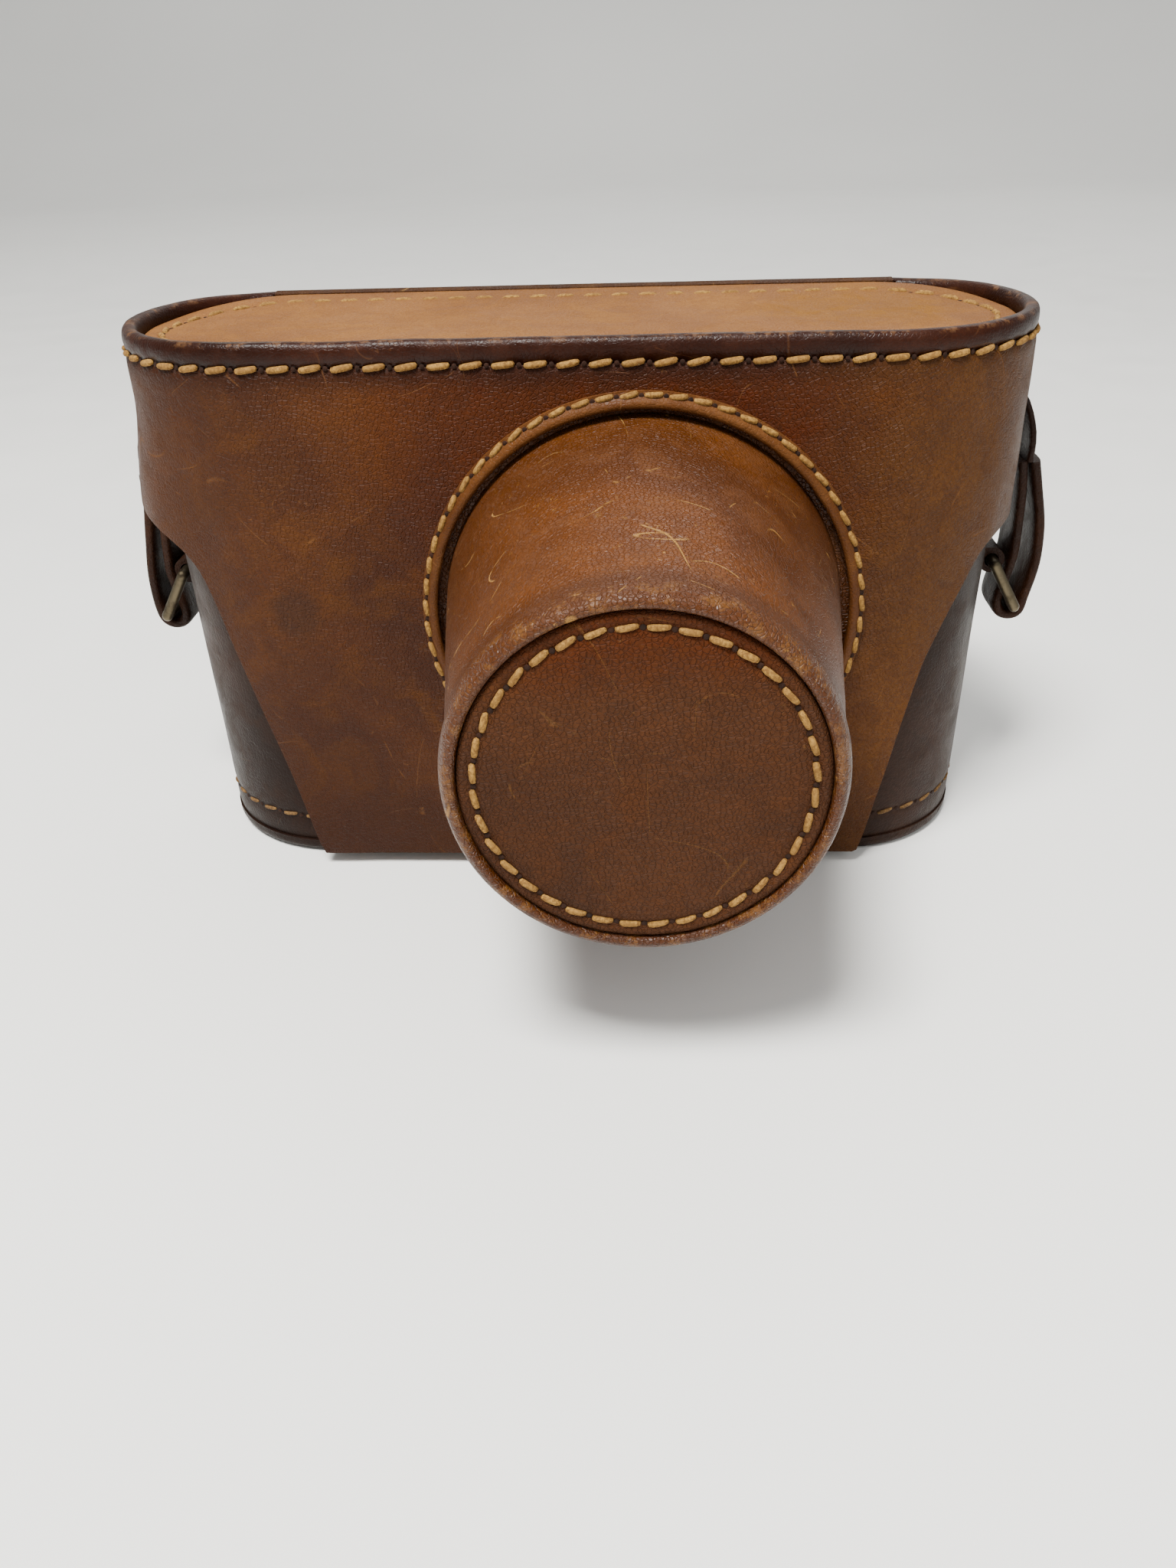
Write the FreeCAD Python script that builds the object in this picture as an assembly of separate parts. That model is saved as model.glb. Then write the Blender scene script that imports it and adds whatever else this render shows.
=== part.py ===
import FreeCAD, Part
import math
import os

V = FreeCAD.Vector
os.makedirs("parts", exist_ok=True)

# ---- driving dimensions, mm; z = 0 is the table, -Y is the front -------------
COVER_W, COVER_D = 152.0, 55.5
TOP_Z = 94.3
LEATHER = 1.8
BAND_TOP_Z = 90.0
RIM_STITCH_Z = 90.5
PLATE_Z0, PLATE_Z1 = 90.2, 92.4
PITCH = 4.9
TOP_SEAM_IN, TOP_SEAM_Y = 4.0, -2.0
REAR_BAND_Z = 85.2
FLAP_Z = 2.5
CASE_W_TOP, CASE_D_TOP = 147.6, 51.0
CASE_W_BASE, CASE_D_BASE = 144.0, 47.6
CASE_TOP_Z = 84.0
CASE_WALL = 2.0
SOLE_Z, SOLE_T = 0.0, 2.8
HINGE_Y, HINGE_Z = 27.0, 91.0
HINGE_HALF = 57.0
NOSE_X, NOSE_Z = 11.0, 50.0
NOSE_R0, NOSE_R1 = 32.8, 26.4
NOSE_Y0, NOSE_Y1 = -27.75, -83.8
NOSE_T = 2.0
COLLAR_R, HOLE_R, COLLAR_T = 36.8, 33.9, 1.4
DISC_Y0, DISC_Y1 = -82.9, -80.2
RIM_W = 2.8
SNAP_Z = 7.8
THREAD_R = 0.45
SCREW_X, SCREW_Y = 34.0, -5.0
RING_Y, RING_X, RING_Z = 6.5, 76.0, 47.6
RING_DX, RING_DZ = 4.6, -8.2
RING_HALF, WIRE_R = 7.0, 1.0
CAM_W, CAM_D, CAM_YC = 134.0, 33.0, 3.0
CAM_Z0, CAM_Z1, CAM_Z2 = 3.8, 62.0, 76.0
LENS_X, LENS_Z = 11.0, 46.0
CAM_FRONT = CAM_YC - CAM_D / 2


# ---- helpers -----------------------------------------------------------------
def save(name, shape):
    """Write one node."""
    shape.exportStep("parts/" + name + ".step")


def group(solids):
    """Several separate solids as one node."""
    return Part.makeCompound(solids)


def box(x0, x1, y0, y1, z0, z1):
    return Part.makeBox(x1 - x0, y1 - y0, z1 - z0, V(x0, y0, z0))


def cyl(r, a, b):
    """Cylinder of radius r from point a to point b."""
    a, b = V(*a), V(*b)
    return Part.makeCylinder(r, (b - a).Length, a, b - a)


def cone(r0, r1, a, b):
    a, b = V(*a), V(*b)
    return Part.makeCone(r0, r1, (b - a).Length, a, b - a)


def tube(ro, ri, a, b):
    return cyl(ro, a, b).cut(cyl(ri, a, b))


def stadium_wire(w, d, z):
    """Outline with two straight sides and two half-round ends."""
    r = d / 2.0
    h = w / 2.0 - r
    p = [V(-h, -r, z), V(h, -r, z), V(h + r, 0, z), V(h, r, z), V(-h, r, z), V(-h - r, 0, z)]
    edges = [Part.LineSegment(p[0], p[1]).toShape()]
    edges.append(Part.Arc(p[1], p[2], p[3]).toShape())
    edges.append(Part.LineSegment(p[3], p[4]).toShape())
    edges.append(Part.Arc(p[4], p[5], p[0]).toShape())
    return Part.Wire(edges)


def stadium(w, d, z0, z1, yc=0.0):
    solid = Part.Face(stadium_wire(w, d, z0)).extrude(V(0, 0, z1 - z0))
    solid.translate(V(0, yc, 0))
    return solid


def taper(w0, d0, w1, d1, z0, z1):
    """Stadium block whose size changes evenly with height."""
    return Part.makeLoft([stadium_wire(w0, d0, z0), stadium_wire(w1, d1, z1)], True, True)


def case_size(z, inset=0.0):
    """Outer width and depth of the lower case at height z."""
    t = (z - SOLE_Z) / (CASE_TOP_Z - SOLE_Z)
    w = CASE_W_BASE + (CASE_W_TOP - CASE_W_BASE) * t
    d = CASE_D_BASE + (CASE_D_TOP - CASE_D_BASE) * t
    return w - 2 * inset, d - 2 * inset


def case_block(z0, z1, inset=0.0):
    w0, d0 = case_size(z0, inset)
    w1, d1 = case_size(z1, inset)
    return taper(w0, d0, w1, d1, z0, z1)


def plate_xz(points, y0, y1):
    """Outline in the X-Z plane, extruded along Y."""
    pts = [V(x, y0, z) for x, z in points]
    wire = Part.makePolygon(pts + [pts[0]])
    return Part.Face(wire).extrude(V(0, y1 - y0, 0))


def outline_points(w, d, step, offset=0.0):
    """Evenly spaced (x, y, direction, normal) around a stadium, from the back centre."""
    r = d / 2.0
    h = w / 2.0 - r
    total = 4 * h + 2 * math.pi * r
    n = int(round(total / step))
    out = []
    for i in range(n):
        s = (i + 0.5) * total / n
        if s < h:
            x, y, nx, ny = s, r, 0.0, 1.0
        elif s < h + math.pi * r:
            a = (s - h) / r
            nx, ny = math.sin(a), math.cos(a)
            x, y = h + r * nx, r * ny
        elif s < 3 * h + math.pi * r:
            x, y, nx, ny = h - (s - h - math.pi * r), -r, 0.0, -1.0
        elif s < 3 * h + 2 * math.pi * r:
            a = (s - 3 * h - math.pi * r) / r
            nx, ny = -math.sin(a), -math.cos(a)
            x, y = -h + r * nx, r * ny
        else:
            x, y, nx, ny = -h + (s - 3 * h - 2 * math.pi * r), r, 0.0, 1.0
        out.append((x + nx * offset, y + ny * offset, nx, ny))
    return out


def stitch(p, d, length):
    """One visible run of thread centred on p along d."""
    p, d = V(*p), V(*d)
    d.normalize()
    return Part.makeCylinder(THREAD_R, length, p - d * (length / 2), d)


def ring_stitches(r, y, n, length):
    out = []
    for i in range(n):
        a = 2 * math.pi * (i + 0.5) / n
        p = (NOSE_X + r * math.cos(a), y, NOSE_Z + r * math.sin(a))
        out.append(stitch(p, (-math.sin(a), 0, math.cos(a)), length))
    return out


def knurled(r, a, b, n, depth):
    """Round knob with straight grip flutes."""
    body = cyl(r, a, b)
    a, b = V(*a), V(*b)
    d = b - a
    side = V(1, 0, 0) if abs(d.x) < 0.5 * d.Length else V(0, 0, 1)
    other = d.cross(side)
    other.normalize()
    cuts = []
    for i in range(n):
        t = 2 * math.pi * i / n
        c = a + side * (math.cos(t) * (r + depth * 0.3)) + other * (math.sin(t) * (r + depth * 0.3))
        cuts.append(Part.makeCylinder(depth, d.Length, c, d))
    return body.cut(Part.makeCompound(cuts))


def ribbon(path, width, thick):
    """Flat strap: path is a list of (point, face normal)."""
    n = len(path)
    rows = []
    for i in range(n):
        p, nr = V(*path[i][0]), V(*path[i][1])
        a = V(*path[max(i - 1, 0)][0])
        b = V(*path[min(i + 1, n - 1)][0])
        d = b - a
        d.normalize()
        nr = nr - d * nr.dot(d)
        nr.normalize()
        w = d.cross(nr)
        w.normalize()
        hw, ht = w * (width / 2.0), nr * (thick / 2.0)
        rows.append([p + hw + ht, p - hw + ht, p - hw - ht, p + hw - ht])
    faces = []

    def tri(a, b, c):
        faces.append(Part.Face(Part.makePolygon([a, b, c, a])))

    for i in range(n - 1):
        for k in range(4):
            a, b = rows[i][k], rows[i][(k + 1) % 4]
            c, e = rows[i + 1][(k + 1) % 4], rows[i + 1][k]
            tri(a, b, c)
            tri(a, c, e)
    for row in (rows[0], rows[-1]):
        tri(row[0], row[1], row[2])
        tri(row[0], row[2], row[3])
    shell = Part.makeShell(faces)
    solid = Part.makeSolid(shell)
    if solid.Volume < 0:
        solid.reverse()
    return solid


def smooth(points, per=6):
    """Points on a Catmull-Rom curve through the given points."""
    out = []
    n = len(points)
    for i in range(n - 1):
        p = [points[max(i - 1, 0)], points[i], points[i + 1], points[min(i + 2, n - 1)]]
        for k in range(per):
            t = k / float(per)
            q = []
            for c in range(len(points[0])):
                a, b, e, f = p[0][c], p[1][c], p[2][c], p[3][c]
                v = 2 * b + (e - a) * t + (2 * a - 5 * b + 4 * e - f) * t * t
                v += (3 * b - a - 3 * e + f) * t * t * t
                q.append(0.5 * v)
            out.append(tuple(q))
    out.append(tuple(points[-1]))
    return out


# ---- lower case --------------------------------------------------------------
wall = case_block(SOLE_Z + SOLE_T, CASE_TOP_Z).cut(
    case_block(SOLE_Z + SOLE_T - 0.01, CASE_TOP_Z + 0.01, CASE_WALL))
front_cut = plate_xz([(-60, 90), (-56, 54), (56, 54), (60, 90)], -40, -9)
lens_cut = cyl(24.5, (LENS_X, -40, LENS_Z), (LENS_X, -9, LENS_Z))
lens_slot = box(LENS_X - 24.5, LENS_X + 24.5, -40, -9, LENS_Z, 60)
wall = wall.cut(front_cut).cut(lens_cut).cut(lens_slot)
save("lower_case_wrap", wall)

sole = case_block(SOLE_Z, SOLE_Z + SOLE_T)
edges = [e for e in sole.Edges if abs(e.BoundBox.ZMax - SOLE_Z) < 0.01]
sole = sole.makeFillet(1.9, edges)
sole = sole.cut(cyl(12.7, (SCREW_X, SCREW_Y, 0), (SCREW_X, SCREW_Y, 1.75)))
sole = sole.cut(cyl(5.2, (SCREW_X, SCREW_Y, 0), (SCREW_X, SCREW_Y, 5)))
save("lower_case_base", sole)

eyelet = tube(5.2, 3.7, (SCREW_X, SCREW_Y, 1.9), (SCREW_X, SCREW_Y, 2.8))
eyelet = eyelet.fuse(tube(7.0, 3.7, (SCREW_X, SCREW_Y, 2.8), (SCREW_X, SCREW_Y, 3.3)))
save("base_eyelet", eyelet)

stitches = []
w, d = case_size(8.0)
for x, y, nx, ny in outline_points(w, d, PITCH, THREAD_R + 0.02):
    if y < 0 and abs(x - NOSE_X) < 6.0:
        continue
    stitches.append(stitch((x, y, 8.0), (-ny, nx, 0), 3.1))
save("lower_case_stitching", group(stitches))

lining = case_block(SOLE_Z + SOLE_T + 0.5, 40.0, CASE_WALL)
lining = lining.cut(case_block(SOLE_Z + SOLE_T + 0.4, 41.0, CASE_WALL + 0.7))
lining = lining.cut(lens_cut).cut(lens_slot)
save("lower_case_lining", lining)

for side, sx in (("left", -1), ("right", 1)):
    tab = case_block(46.0, 62.0, -1.5).cut(case_block(45.9, 62.1, 0.0))
    region = box(60, 90, RING_Y - 4.2, RING_Y + 4.2, 46.0, 62.0)
    tab = tab.common(region)
    eye = cyl(2.4, (RING_X, RING_Y - 4.2, RING_Z), (RING_X, RING_Y + 4.2, RING_Z))
    arm = box(72.0, RING_X, RING_Y - 4.2, RING_Y + 4.2, RING_Z - 0.4, RING_Z + 2.4)
    tab = tab.fuse(eye.fuse(arm))
    tab = tab.cut(cyl(1.3, (RING_X, -10, RING_Z), (RING_X, 30, RING_Z)))
    tab = tab.cut(case_block(40.0, 65.0, 0.0))
    rx = case_size(56)[0] / 2 - case_size(56)[1] / 2
    rr = case_size(56)[1] / 2 + 1.5
    ang = math.asin(RING_Y / rr)
    base = V(rx + rr * math.cos(ang), RING_Y, 56.5)
    nrm = V(math.cos(ang), math.sin(ang), 0)
    rivet = Part.makeCone(2.4, 1.5, 0.7, base + nrm * 0.05, nrm)
    a = (RING_X, RING_Y - RING_HALF, RING_Z)
    b = (RING_X, RING_Y + RING_HALF, RING_Z)
    c = (RING_X + RING_DX, RING_Y + RING_HALF, RING_Z + RING_DZ)
    e = (RING_X + RING_DX, RING_Y - RING_HALF, RING_Z + RING_DZ)
    wire = cyl(WIRE_R, a, b).fuse([cyl(WIRE_R, b, c), cyl(WIRE_R, c, e), cyl(WIRE_R, e, a)])
    wire = wire.fuse([Part.makeSphere(WIRE_R, V(*q)) for q in (a, b, c, e)])
    loop = [(78.9, 66.0), (79.6, 60.0), (80.1, 50.0), (79.7, 46.4), (78.15, 40.0)]
    loop += [(78.8, 37.4), (80.6, 36.6), (82.4, 37.4), (83.1, 40.4), (84.2, 47.0)]
    loop += [(83.9, 54.0), (82.4, 61.0), (81.3, 66.0)]
    fine = smooth(loop, 4)
    path = []
    for i, (px, pz) in enumerate(fine):
        q0, q1 = fine[max(i - 1, 0)], fine[min(i + 1, len(fine) - 1)]
        path.append(((px, RING_Y, pz), (q1[1] - q0[1], 0, -(q1[0] - q0[0]))))
    end = ribbon(path, 10.0, 2.1)
    for name, shape in (("strap_tab_", tab), ("tab_rivet_", rivet), ("ring_", wire),
                        ("strap_end_", end)):
        if sx < 0:
            shape = shape.mirror(V(0, 0, 0), V(1, 0, 0))
        save(name + side, shape)

# ---- neck strap, stowed behind the case --------------------------------------
right = [(80.1, 6.5, 67.2), (80.0, 6.6, 70.0), (78.4, 9.0, 73.0), (75.0, 17.0, 75.0)]
right += [(73.0, 27.0, 70.4), (73.5, 37.0, 58.0), (75.0, 47.0, 42.0), (76.4, 56.0, 26.0)]
right += [(75.5, 66.0, 12.5), (70.0, 72.5, 6.4), (60.0, 75.0, 5.6)]
left = [(-x, y, z) for x, y, z in right[:5]]
left += [(-73.6, 34.0, 59.0), (-76.0, 41.0, 42.0), (-78.0, 45.0, 25.0), (-76.5, 45.5, 11.5)]
left += [(-70.0, 42.0, 6.2), (-60.0, 40.5, 5.6)]
passes = []
ys = [40.5, 49.0, 57.5, 66.0, 74.5]
for k, yk in enumerate(ys):
    row = [(x, yk, 5.6) for x in (-50, -30, -10, 10, 30, 48)]
    if k % 2:
        row.reverse()
    passes += row
    if k < len(ys) - 1:
        s = 1 if k % 2 == 0 else -1
        xe = row[-1][0]
        passes += [(xe + s * 4.5, yk + 1.3, 5.6), (xe + s * 6.2, yk + 4.25, 5.6)]
        passes += [(xe + s * 4.5, yk + 7.2, 5.6)]
route = left + passes + right[::-1]
fine = smooth(route, 4)
path = []
for i, p in enumerate(fine):
    a, b = fine[max(i - 1, 0)], fine[min(i + 1, len(fine) - 1)]
    dx, dy = b[0] - a[0], b[1] - a[1]
    if i < 10:
        dx, dy = 0.0, 1.0
    if i > len(fine) - 11:
        dx, dy = 0.0, -1.0
    m = math.hypot(dx, dy)
    path.append((p, (dy / m, -dx / m, 0)))
save("neck_strap", ribbon(path, 10.0, 1.5))

# ---- hinge flap at the back --------------------------------------------------
flap = box(-HINGE_HALF, HINGE_HALF, 25.9, 27.5, 58.0, 94.1)
flap = flap.fuse(box(-HINGE_HALF, HINGE_HALF, 23.5, 27.5, 91.9, 94.1)).removeSplitter()
edges = [e for e in flap.Edges if e.BoundBox.ZMin > 94.0 and e.BoundBox.YMin > 27.4]
flap = flap.makeFillet(1.6, edges)
save("hinge_flap", flap)
stitches = []
for zz in (61.0,):
    n = int(2 * (HINGE_HALF - 4) / PITCH)
    for i in range(n + 1):
        x = -HINGE_HALF + 4 + i * 2 * (HINGE_HALF - 4) / n
        stitches.append(stitch((x, 27.5 + THREAD_R + 0.02, zz), (1, 0, 0), 3.1))
save("hinge_flap_stitching", group(stitches))

# ---- front cover -------------------------------------------------------------
band = stadium(COVER_W, COVER_D, FLAP_Z, BAND_TOP_Z)
band = band.cut(stadium(COVER_W - 2 * LEATHER, COVER_D - 2 * LEATHER, 0, 100))
left_edge = [(-90, 66.5), (-75.6, 66.0), (-73.5, 65.2), (-70, 63.4), (-66.3, 60.8), (-63.6, 57.0)]
left_edge += [(-61.6, 50.7), (-56.9, 34.9), (-52.8, 19.8), (-49.0, 2.0), (-49.0, -5), (-90, -5)]
right_edge = [(90, 61.0), (75.4, 60.4), (70, 59.6), (67.0, 57.6), (64.6, 53.4), (60.5, 44.3)]
right_edge += [(57.9, 36.6), (53.5, 16.7), (50.4, 2.0), (50.4, -5), (90, -5)]
band = band.cut(plate_xz(left_edge, -40, 40)).cut(plate_xz(right_edge, -40, 40))
band = band.cut(box(-90, 90, 0.0, 40, 0, REAR_BAND_Z))
band = band.cut(box(-HINGE_HALF - 0.4, HINGE_HALF + 0.4, 10, 40, 0, 100))
hole = cyl(HOLE_R, (NOSE_X, -40, NOSE_Z), (NOSE_X, -10, NOSE_Z))
band = band.cut(hole)
save("cover_wrap", band)

rim = stadium(COVER_W, COVER_D, BAND_TOP_Z, TOP_Z)
top_edges = [e for e in rim.Edges if e.BoundBox.ZMin > TOP_Z - 0.01]
rim = rim.makeFillet(1.7, top_edges)
rim = rim.cut(stadium(COVER_W - 2 * RIM_W, COVER_D - 2 * RIM_W, 80, 100))
rim = rim.cut(box(-HINGE_HALF - 0.4, HINGE_HALF + 0.4, 10, 40, 0, 100))
save("cover_rim", rim)

inner_w, inner_d = COVER_W - 2 * RIM_W - 0.1, COVER_D - 2 * RIM_W - 0.1
plate = stadium(inner_w, inner_d, PLATE_Z0, PLATE_Z1)
plate = plate.cut(box(-HINGE_HALF - 0.1, HINGE_HALF + 0.1, 23.49, 40, 0, 100))
save("cover_top_plate", plate)
lid = stadium(inner_w, inner_d, PLATE_Z0 - 1.0, PLATE_Z0 - 0.1)
save("cover_lining", lid.cut(box(-90, 90, 24.5, 40, 80, 100)))

stitches = []
for x, y, nx, ny in outline_points(COVER_W, COVER_D, PITCH, THREAD_R + 0.02):
    if y < 3 or abs(x) > HINGE_HALF + 4:
        zs = RIM_STITCH_Z
        stitches.append(stitch((x, y, zs), (-ny, nx, 0), 3.1))
save("rim_stitching", group(stitches))
stitches = []
seam_w, seam_d = inner_w - 2 * TOP_SEAM_IN, inner_d - 2 * TOP_SEAM_IN + 2 * TOP_SEAM_Y
for x, y, nx, ny in outline_points(seam_w, seam_d, PITCH):
    stitches.append(stitch((x, y + TOP_SEAM_Y, PLATE_Z1 + THREAD_R + 0.02), (-ny, nx, 0), 3.1))
save("top_stitching", group(stitches))

collar = tube(COLLAR_R, HOLE_R, (NOSE_X, NOSE_Y0, NOSE_Z), (NOSE_X, NOSE_Y0 - COLLAR_T, NOSE_Z))
edges = [e for e in collar.Edges if abs(e.BoundBox.YMin - NOSE_Y0 + COLLAR_T) < 0.01
         and e.BoundBox.XLength > 10]
collar = collar.makeFillet(0.5, edges)
save("nose_collar", collar)
yc = NOSE_Y0 - COLLAR_T - THREAD_R - 0.02
save("collar_stitching", group(ring_stitches(35.9, yc, 60, 2.5)))

c0, c1 = (NOSE_X, NOSE_Y0 + LEATHER, NOSE_Z), (NOSE_X, NOSE_Y1, NOSE_Z)
nose = cone(NOSE_R0, NOSE_R1, c0, c1)
edges = [e for e in nose.Edges if e.BoundBox.YMax < NOSE_Y1 + 0.01]
nose = nose.makeFillet(1.5, edges)
nose = nose.cut(cone(NOSE_R0 - NOSE_T, NOSE_R1 - NOSE_T, c0, c1))
flange = tube(37.4, NOSE_R0 - NOSE_T, (NOSE_X, -25.95, NOSE_Z), (NOSE_X, -25.25, NOSE_Z))
flange = flange.common(box(-90, 90, -40, 0, 18, 82))
save("nose_tube", nose.fuse(flange))
r_in = NOSE_R1 - NOSE_T - 0.04
disc = cyl(r_in, (NOSE_X, DISC_Y0, NOSE_Z), (NOSE_X, DISC_Y1, NOSE_Z))
save("nose_end_disc", disc)
save("disc_stitching", group(ring_stitches(21.9, DISC_Y0 - THREAD_R - 0.02, 36, 2.5)))

# ---- press stud closing the cover --------------------------------------------
sy = -case_size(SNAP_Z)[1] / 2
save("snap_stud", tube(3.0, 1.0, (NOSE_X, sy - 0.06, SNAP_Z), (NOSE_X, sy - 0.4, SNAP_Z)).fuse(
    cyl(2.0, (NOSE_X, sy - 0.4, SNAP_Z), (NOSE_X, sy - 1.5, SNAP_Z))))
save("snap_socket", tube(4.7, 3.6, (NOSE_X, -25.9, SNAP_Z), (NOSE_X, -25.1, SNAP_Z)))
cap = cyl(4.8, (NOSE_X, NOSE_Y0 - 0.02, SNAP_Z), (NOSE_X, NOSE_Y0 - 1.4, SNAP_Z))
cap = cap.makeFillet(1.0, [e for e in cap.Edges if e.BoundBox.YMax < NOSE_Y0 - 1.3])
save("snap_cap", cap)

# ---- retaining screw ---------------------------------------------------------
knob = knurled(12.0, (SCREW_X, SCREW_Y, 0), (SCREW_X, SCREW_Y, 1.5), 36, 0.5)
knob = knob.fuse(cyl(3.1, (SCREW_X, SCREW_Y, 1.0), (SCREW_X, SCREW_Y, 9.0)))
knob = knob.cut(cyl(2.0, (SCREW_X, SCREW_Y, -0.1), (SCREW_X, SCREW_Y, 6.5)))
save("retaining_screw", knob)

# ---- camera inside the case --------------------------------------------------
body = stadium(CAM_W, CAM_D, CAM_Z0, CAM_Z1, CAM_YC)
gate = box(-18 + LENS_X, 18 + LENS_X, CAM_FRONT + 2.5, CAM_YC + 12.2, LENS_Z - 14, LENS_Z + 14)
body = body.cut(gate)
for px in (-48.0, 52.0):
    body = body.cut(cyl(12.6, (px, CAM_YC, 12), (px, CAM_YC, 58)))
body = body.cut(cyl(2.0, (-48, CAM_YC, 57), (-48, CAM_YC, 63)))
body = body.cut(cyl(2.0, (52, CAM_YC, 57), (52, CAM_YC, 63)))
body = body.cut(cyl(6.4, (-27, CAM_YC + 6, 14), (-27, CAM_YC + 6, 56)))
body = body.cut(cyl(1.8, (-27, CAM_YC + 6, 55), (-27, CAM_YC + 6, 63)))
body = body.cut(cyl(13.2, (LENS_X, CAM_FRONT - 1, LENS_Z), (LENS_X, CAM_FRONT + 3, LENS_Z)))
body = body.cut(cyl(5.5, (SCREW_X, SCREW_Y, 0), (SCREW_X, SCREW_Y, 11)))
save("camera_body", body)
bush = cyl(5.4, (SCREW_X, SCREW_Y, CAM_Z0), (SCREW_X, SCREW_Y, 10.9))
save("tripod_bush", bush.cut(cyl(3.4, (SCREW_X, SCREW_Y, 0), (SCREW_X, SCREW_Y, 9.6))))

skin = stadium(CAM_W + 0.8, CAM_D + 0.8, 10, 56, CAM_YC).cut(stadium(CAM_W, CAM_D, 0, 90, CAM_YC))
skin = skin.cut(cyl(21.0, (LENS_X, -40, LENS_Z), (LENS_X, 0, LENS_Z)))
skin = skin.cut(box(LENS_X - 21, LENS_X + 21, -40, 0, LENS_Z, 70))
save("camera_leatherette", skin)

top = stadium(CAM_W, CAM_D, CAM_Z1 + 0.02, CAM_Z2, CAM_YC)
top = top.makeFillet(2.0, [e for e in top.Edges if e.BoundBox.ZMin > CAM_Z2 - 0.01])
house = box(-28, 41.5, CAM_YC - 13, CAM_YC + 13, CAM_Z2 - 2, 84.5)
house = house.makeFillet(2.0, [e for e in house.Edges if e.BoundBox.ZLength > 5
                               or e.BoundBox.ZMin > 84])
top = top.fuse(house)
top = top.cut(stadium(CAM_W - 3, CAM_D - 3, CAM_Z1 - 1, CAM_Z2 - 1.6, CAM_YC))
for px in (-48.0, 52.0):
    top = top.cut(cyl(2.0, (px, CAM_YC, 60), (px, CAM_YC, 90)))
top = top.cut(cyl(2.6, (-34, CAM_YC - 8, 60), (-34, CAM_YC - 8, 90)))
top = top.cut(cyl(1.8, (-27, CAM_YC + 6, 60), (-27, CAM_YC + 6, 74.5)))
for wx, ww in ((-14, 4), (11, 6), (32, 4)):
    top = top.cut(box(wx - ww, wx + ww, CAM_YC - 20, CAM_YC - 11.4, 77, 82.5))
top = top.cut(cyl(3.6, (11, CAM_YC + 11.4, 79.7), (11, CAM_YC + 20, 79.7)))
save("camera_top_cover", top)
glass = []
for wx, ww in ((-14, 4), (11, 6), (32, 4)):
    glass.append(box(wx - ww + 0.1, wx + ww - 0.1, CAM_YC - 12.6, CAM_YC - 11.5, 77.1, 82.4))
glass.append(cyl(3.4, (11, CAM_YC + 11.5, 79.7), (11, CAM_YC + 12.6, 79.7)))
save("viewfinder_windows", group(glass))
shoe = box(2, 20, CAM_YC - 6, CAM_YC + 10, 84.55, 85.2)
shoe = shoe.fuse(box(2, 3, CAM_YC - 6, CAM_YC + 10, 85.2, 87.4))
shoe = shoe.fuse(box(19, 20, CAM_YC - 6, CAM_YC + 10, 85.2, 87.4))
shoe = shoe.fuse(box(3, 5, CAM_YC - 6, CAM_YC + 10, 86.8, 87.4))
shoe = shoe.fuse(box(17, 19, CAM_YC - 6, CAM_YC + 10, 86.8, 87.4))
save("accessory_shoe", shoe)
back_y = CAM_YC + 12.25
plate = box(LENS_X - 22, LENS_X + 22, back_y - 1.4, back_y - 0.2, LENS_Z - 13.6, LENS_Z + 13.6)
plate = plate.common(gate)
save("pressure_plate", plate)
film = box(LENS_X - 17.6, LENS_X + 17.6, back_y - 1.62, back_y - 1.46, LENS_Z - 13.4, LENS_Z + 13.4)
save("film_strip", film)
cassette = cyl(11.8, (52, CAM_YC, 14), (52, CAM_YC, 53)).cut(
    cyl(4.2, (52, CAM_YC, 44), (52, CAM_YC, 54)))
save("film_cassette", cassette)

# shutter, lens and its rings
f = CAM_FRONT
lens_nodes = {}
lx, lz = LENS_X, LENS_Z


def ring_y(ro, ri, y0, y1):
    return tube(ro, ri, (lx, y0, lz), (lx, y1, lz))


save("lens_flange", ring_y(19.0, 12.4, f - 0.02, f - 1.6).cut(
    group([cyl(1.2, (lx + 17 * math.cos(a), f - 3, lz + 17 * math.sin(a)),
               (lx + 17 * math.cos(a), f + 1, lz + 17 * math.sin(a)))
           for a in (0.785, 2.356, 3.927, 5.498)])))
save("flange_screws", group([cyl(1.1, (lx + 17 * math.cos(a), f - 0.1, lz + 17 * math.sin(a)),
                                 (lx + 17 * math.cos(a), f - 1.9, lz + 17 * math.sin(a)))
                             for a in (0.785, 2.356, 3.927, 5.498)]))
save("shutter_housing", ring_y(15.4, 12.4, f - 1.62, f - 9.0).fuse(
    ring_y(12.4, 9.9, f + 1.5, f - 14.0)).fuse(ring_y(11.6, 9.9, f - 14.0, f - 26.0)))
for name, y0, y1, flutes in (("aperture_ring", f - 9.3, f - 13.7, 30), ("focus_ring", f - 14.4, f - 24.5, 40)):
    ri = 12.46 if name == "aperture_ring" else 11.66
    r = knurled(15.2, (lx, y0, lz), (lx, y1, lz), flutes, 0.5)
    save(name, r.cut(cyl(ri, (lx, y0 + 1, lz), (lx, y1 - 1, lz))))
save("lens_name_ring", ring_y(14.6, 9.9, f - 26.02, f - 27.2))
save("lens_barrel", ring_y(9.85, 8.6, f + 1.2, f - 26.5))
elements = []
for r, y, t, bulge in ((8.5, f - 25.4, 3.0, 18.0), (8.5, f - 18.0, 2.4, 26.0), (8.5, f - 2.4, 3.0, 18.0)):
    e = cyl(r, (lx, y, lz), (lx, y + t, lz))
    e = e.common(Part.makeSphere(bulge, V(lx, y + bulge - 0.05, lz)))
    elements.append(e)
save("lens_elements", group(elements))
blades = []
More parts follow.
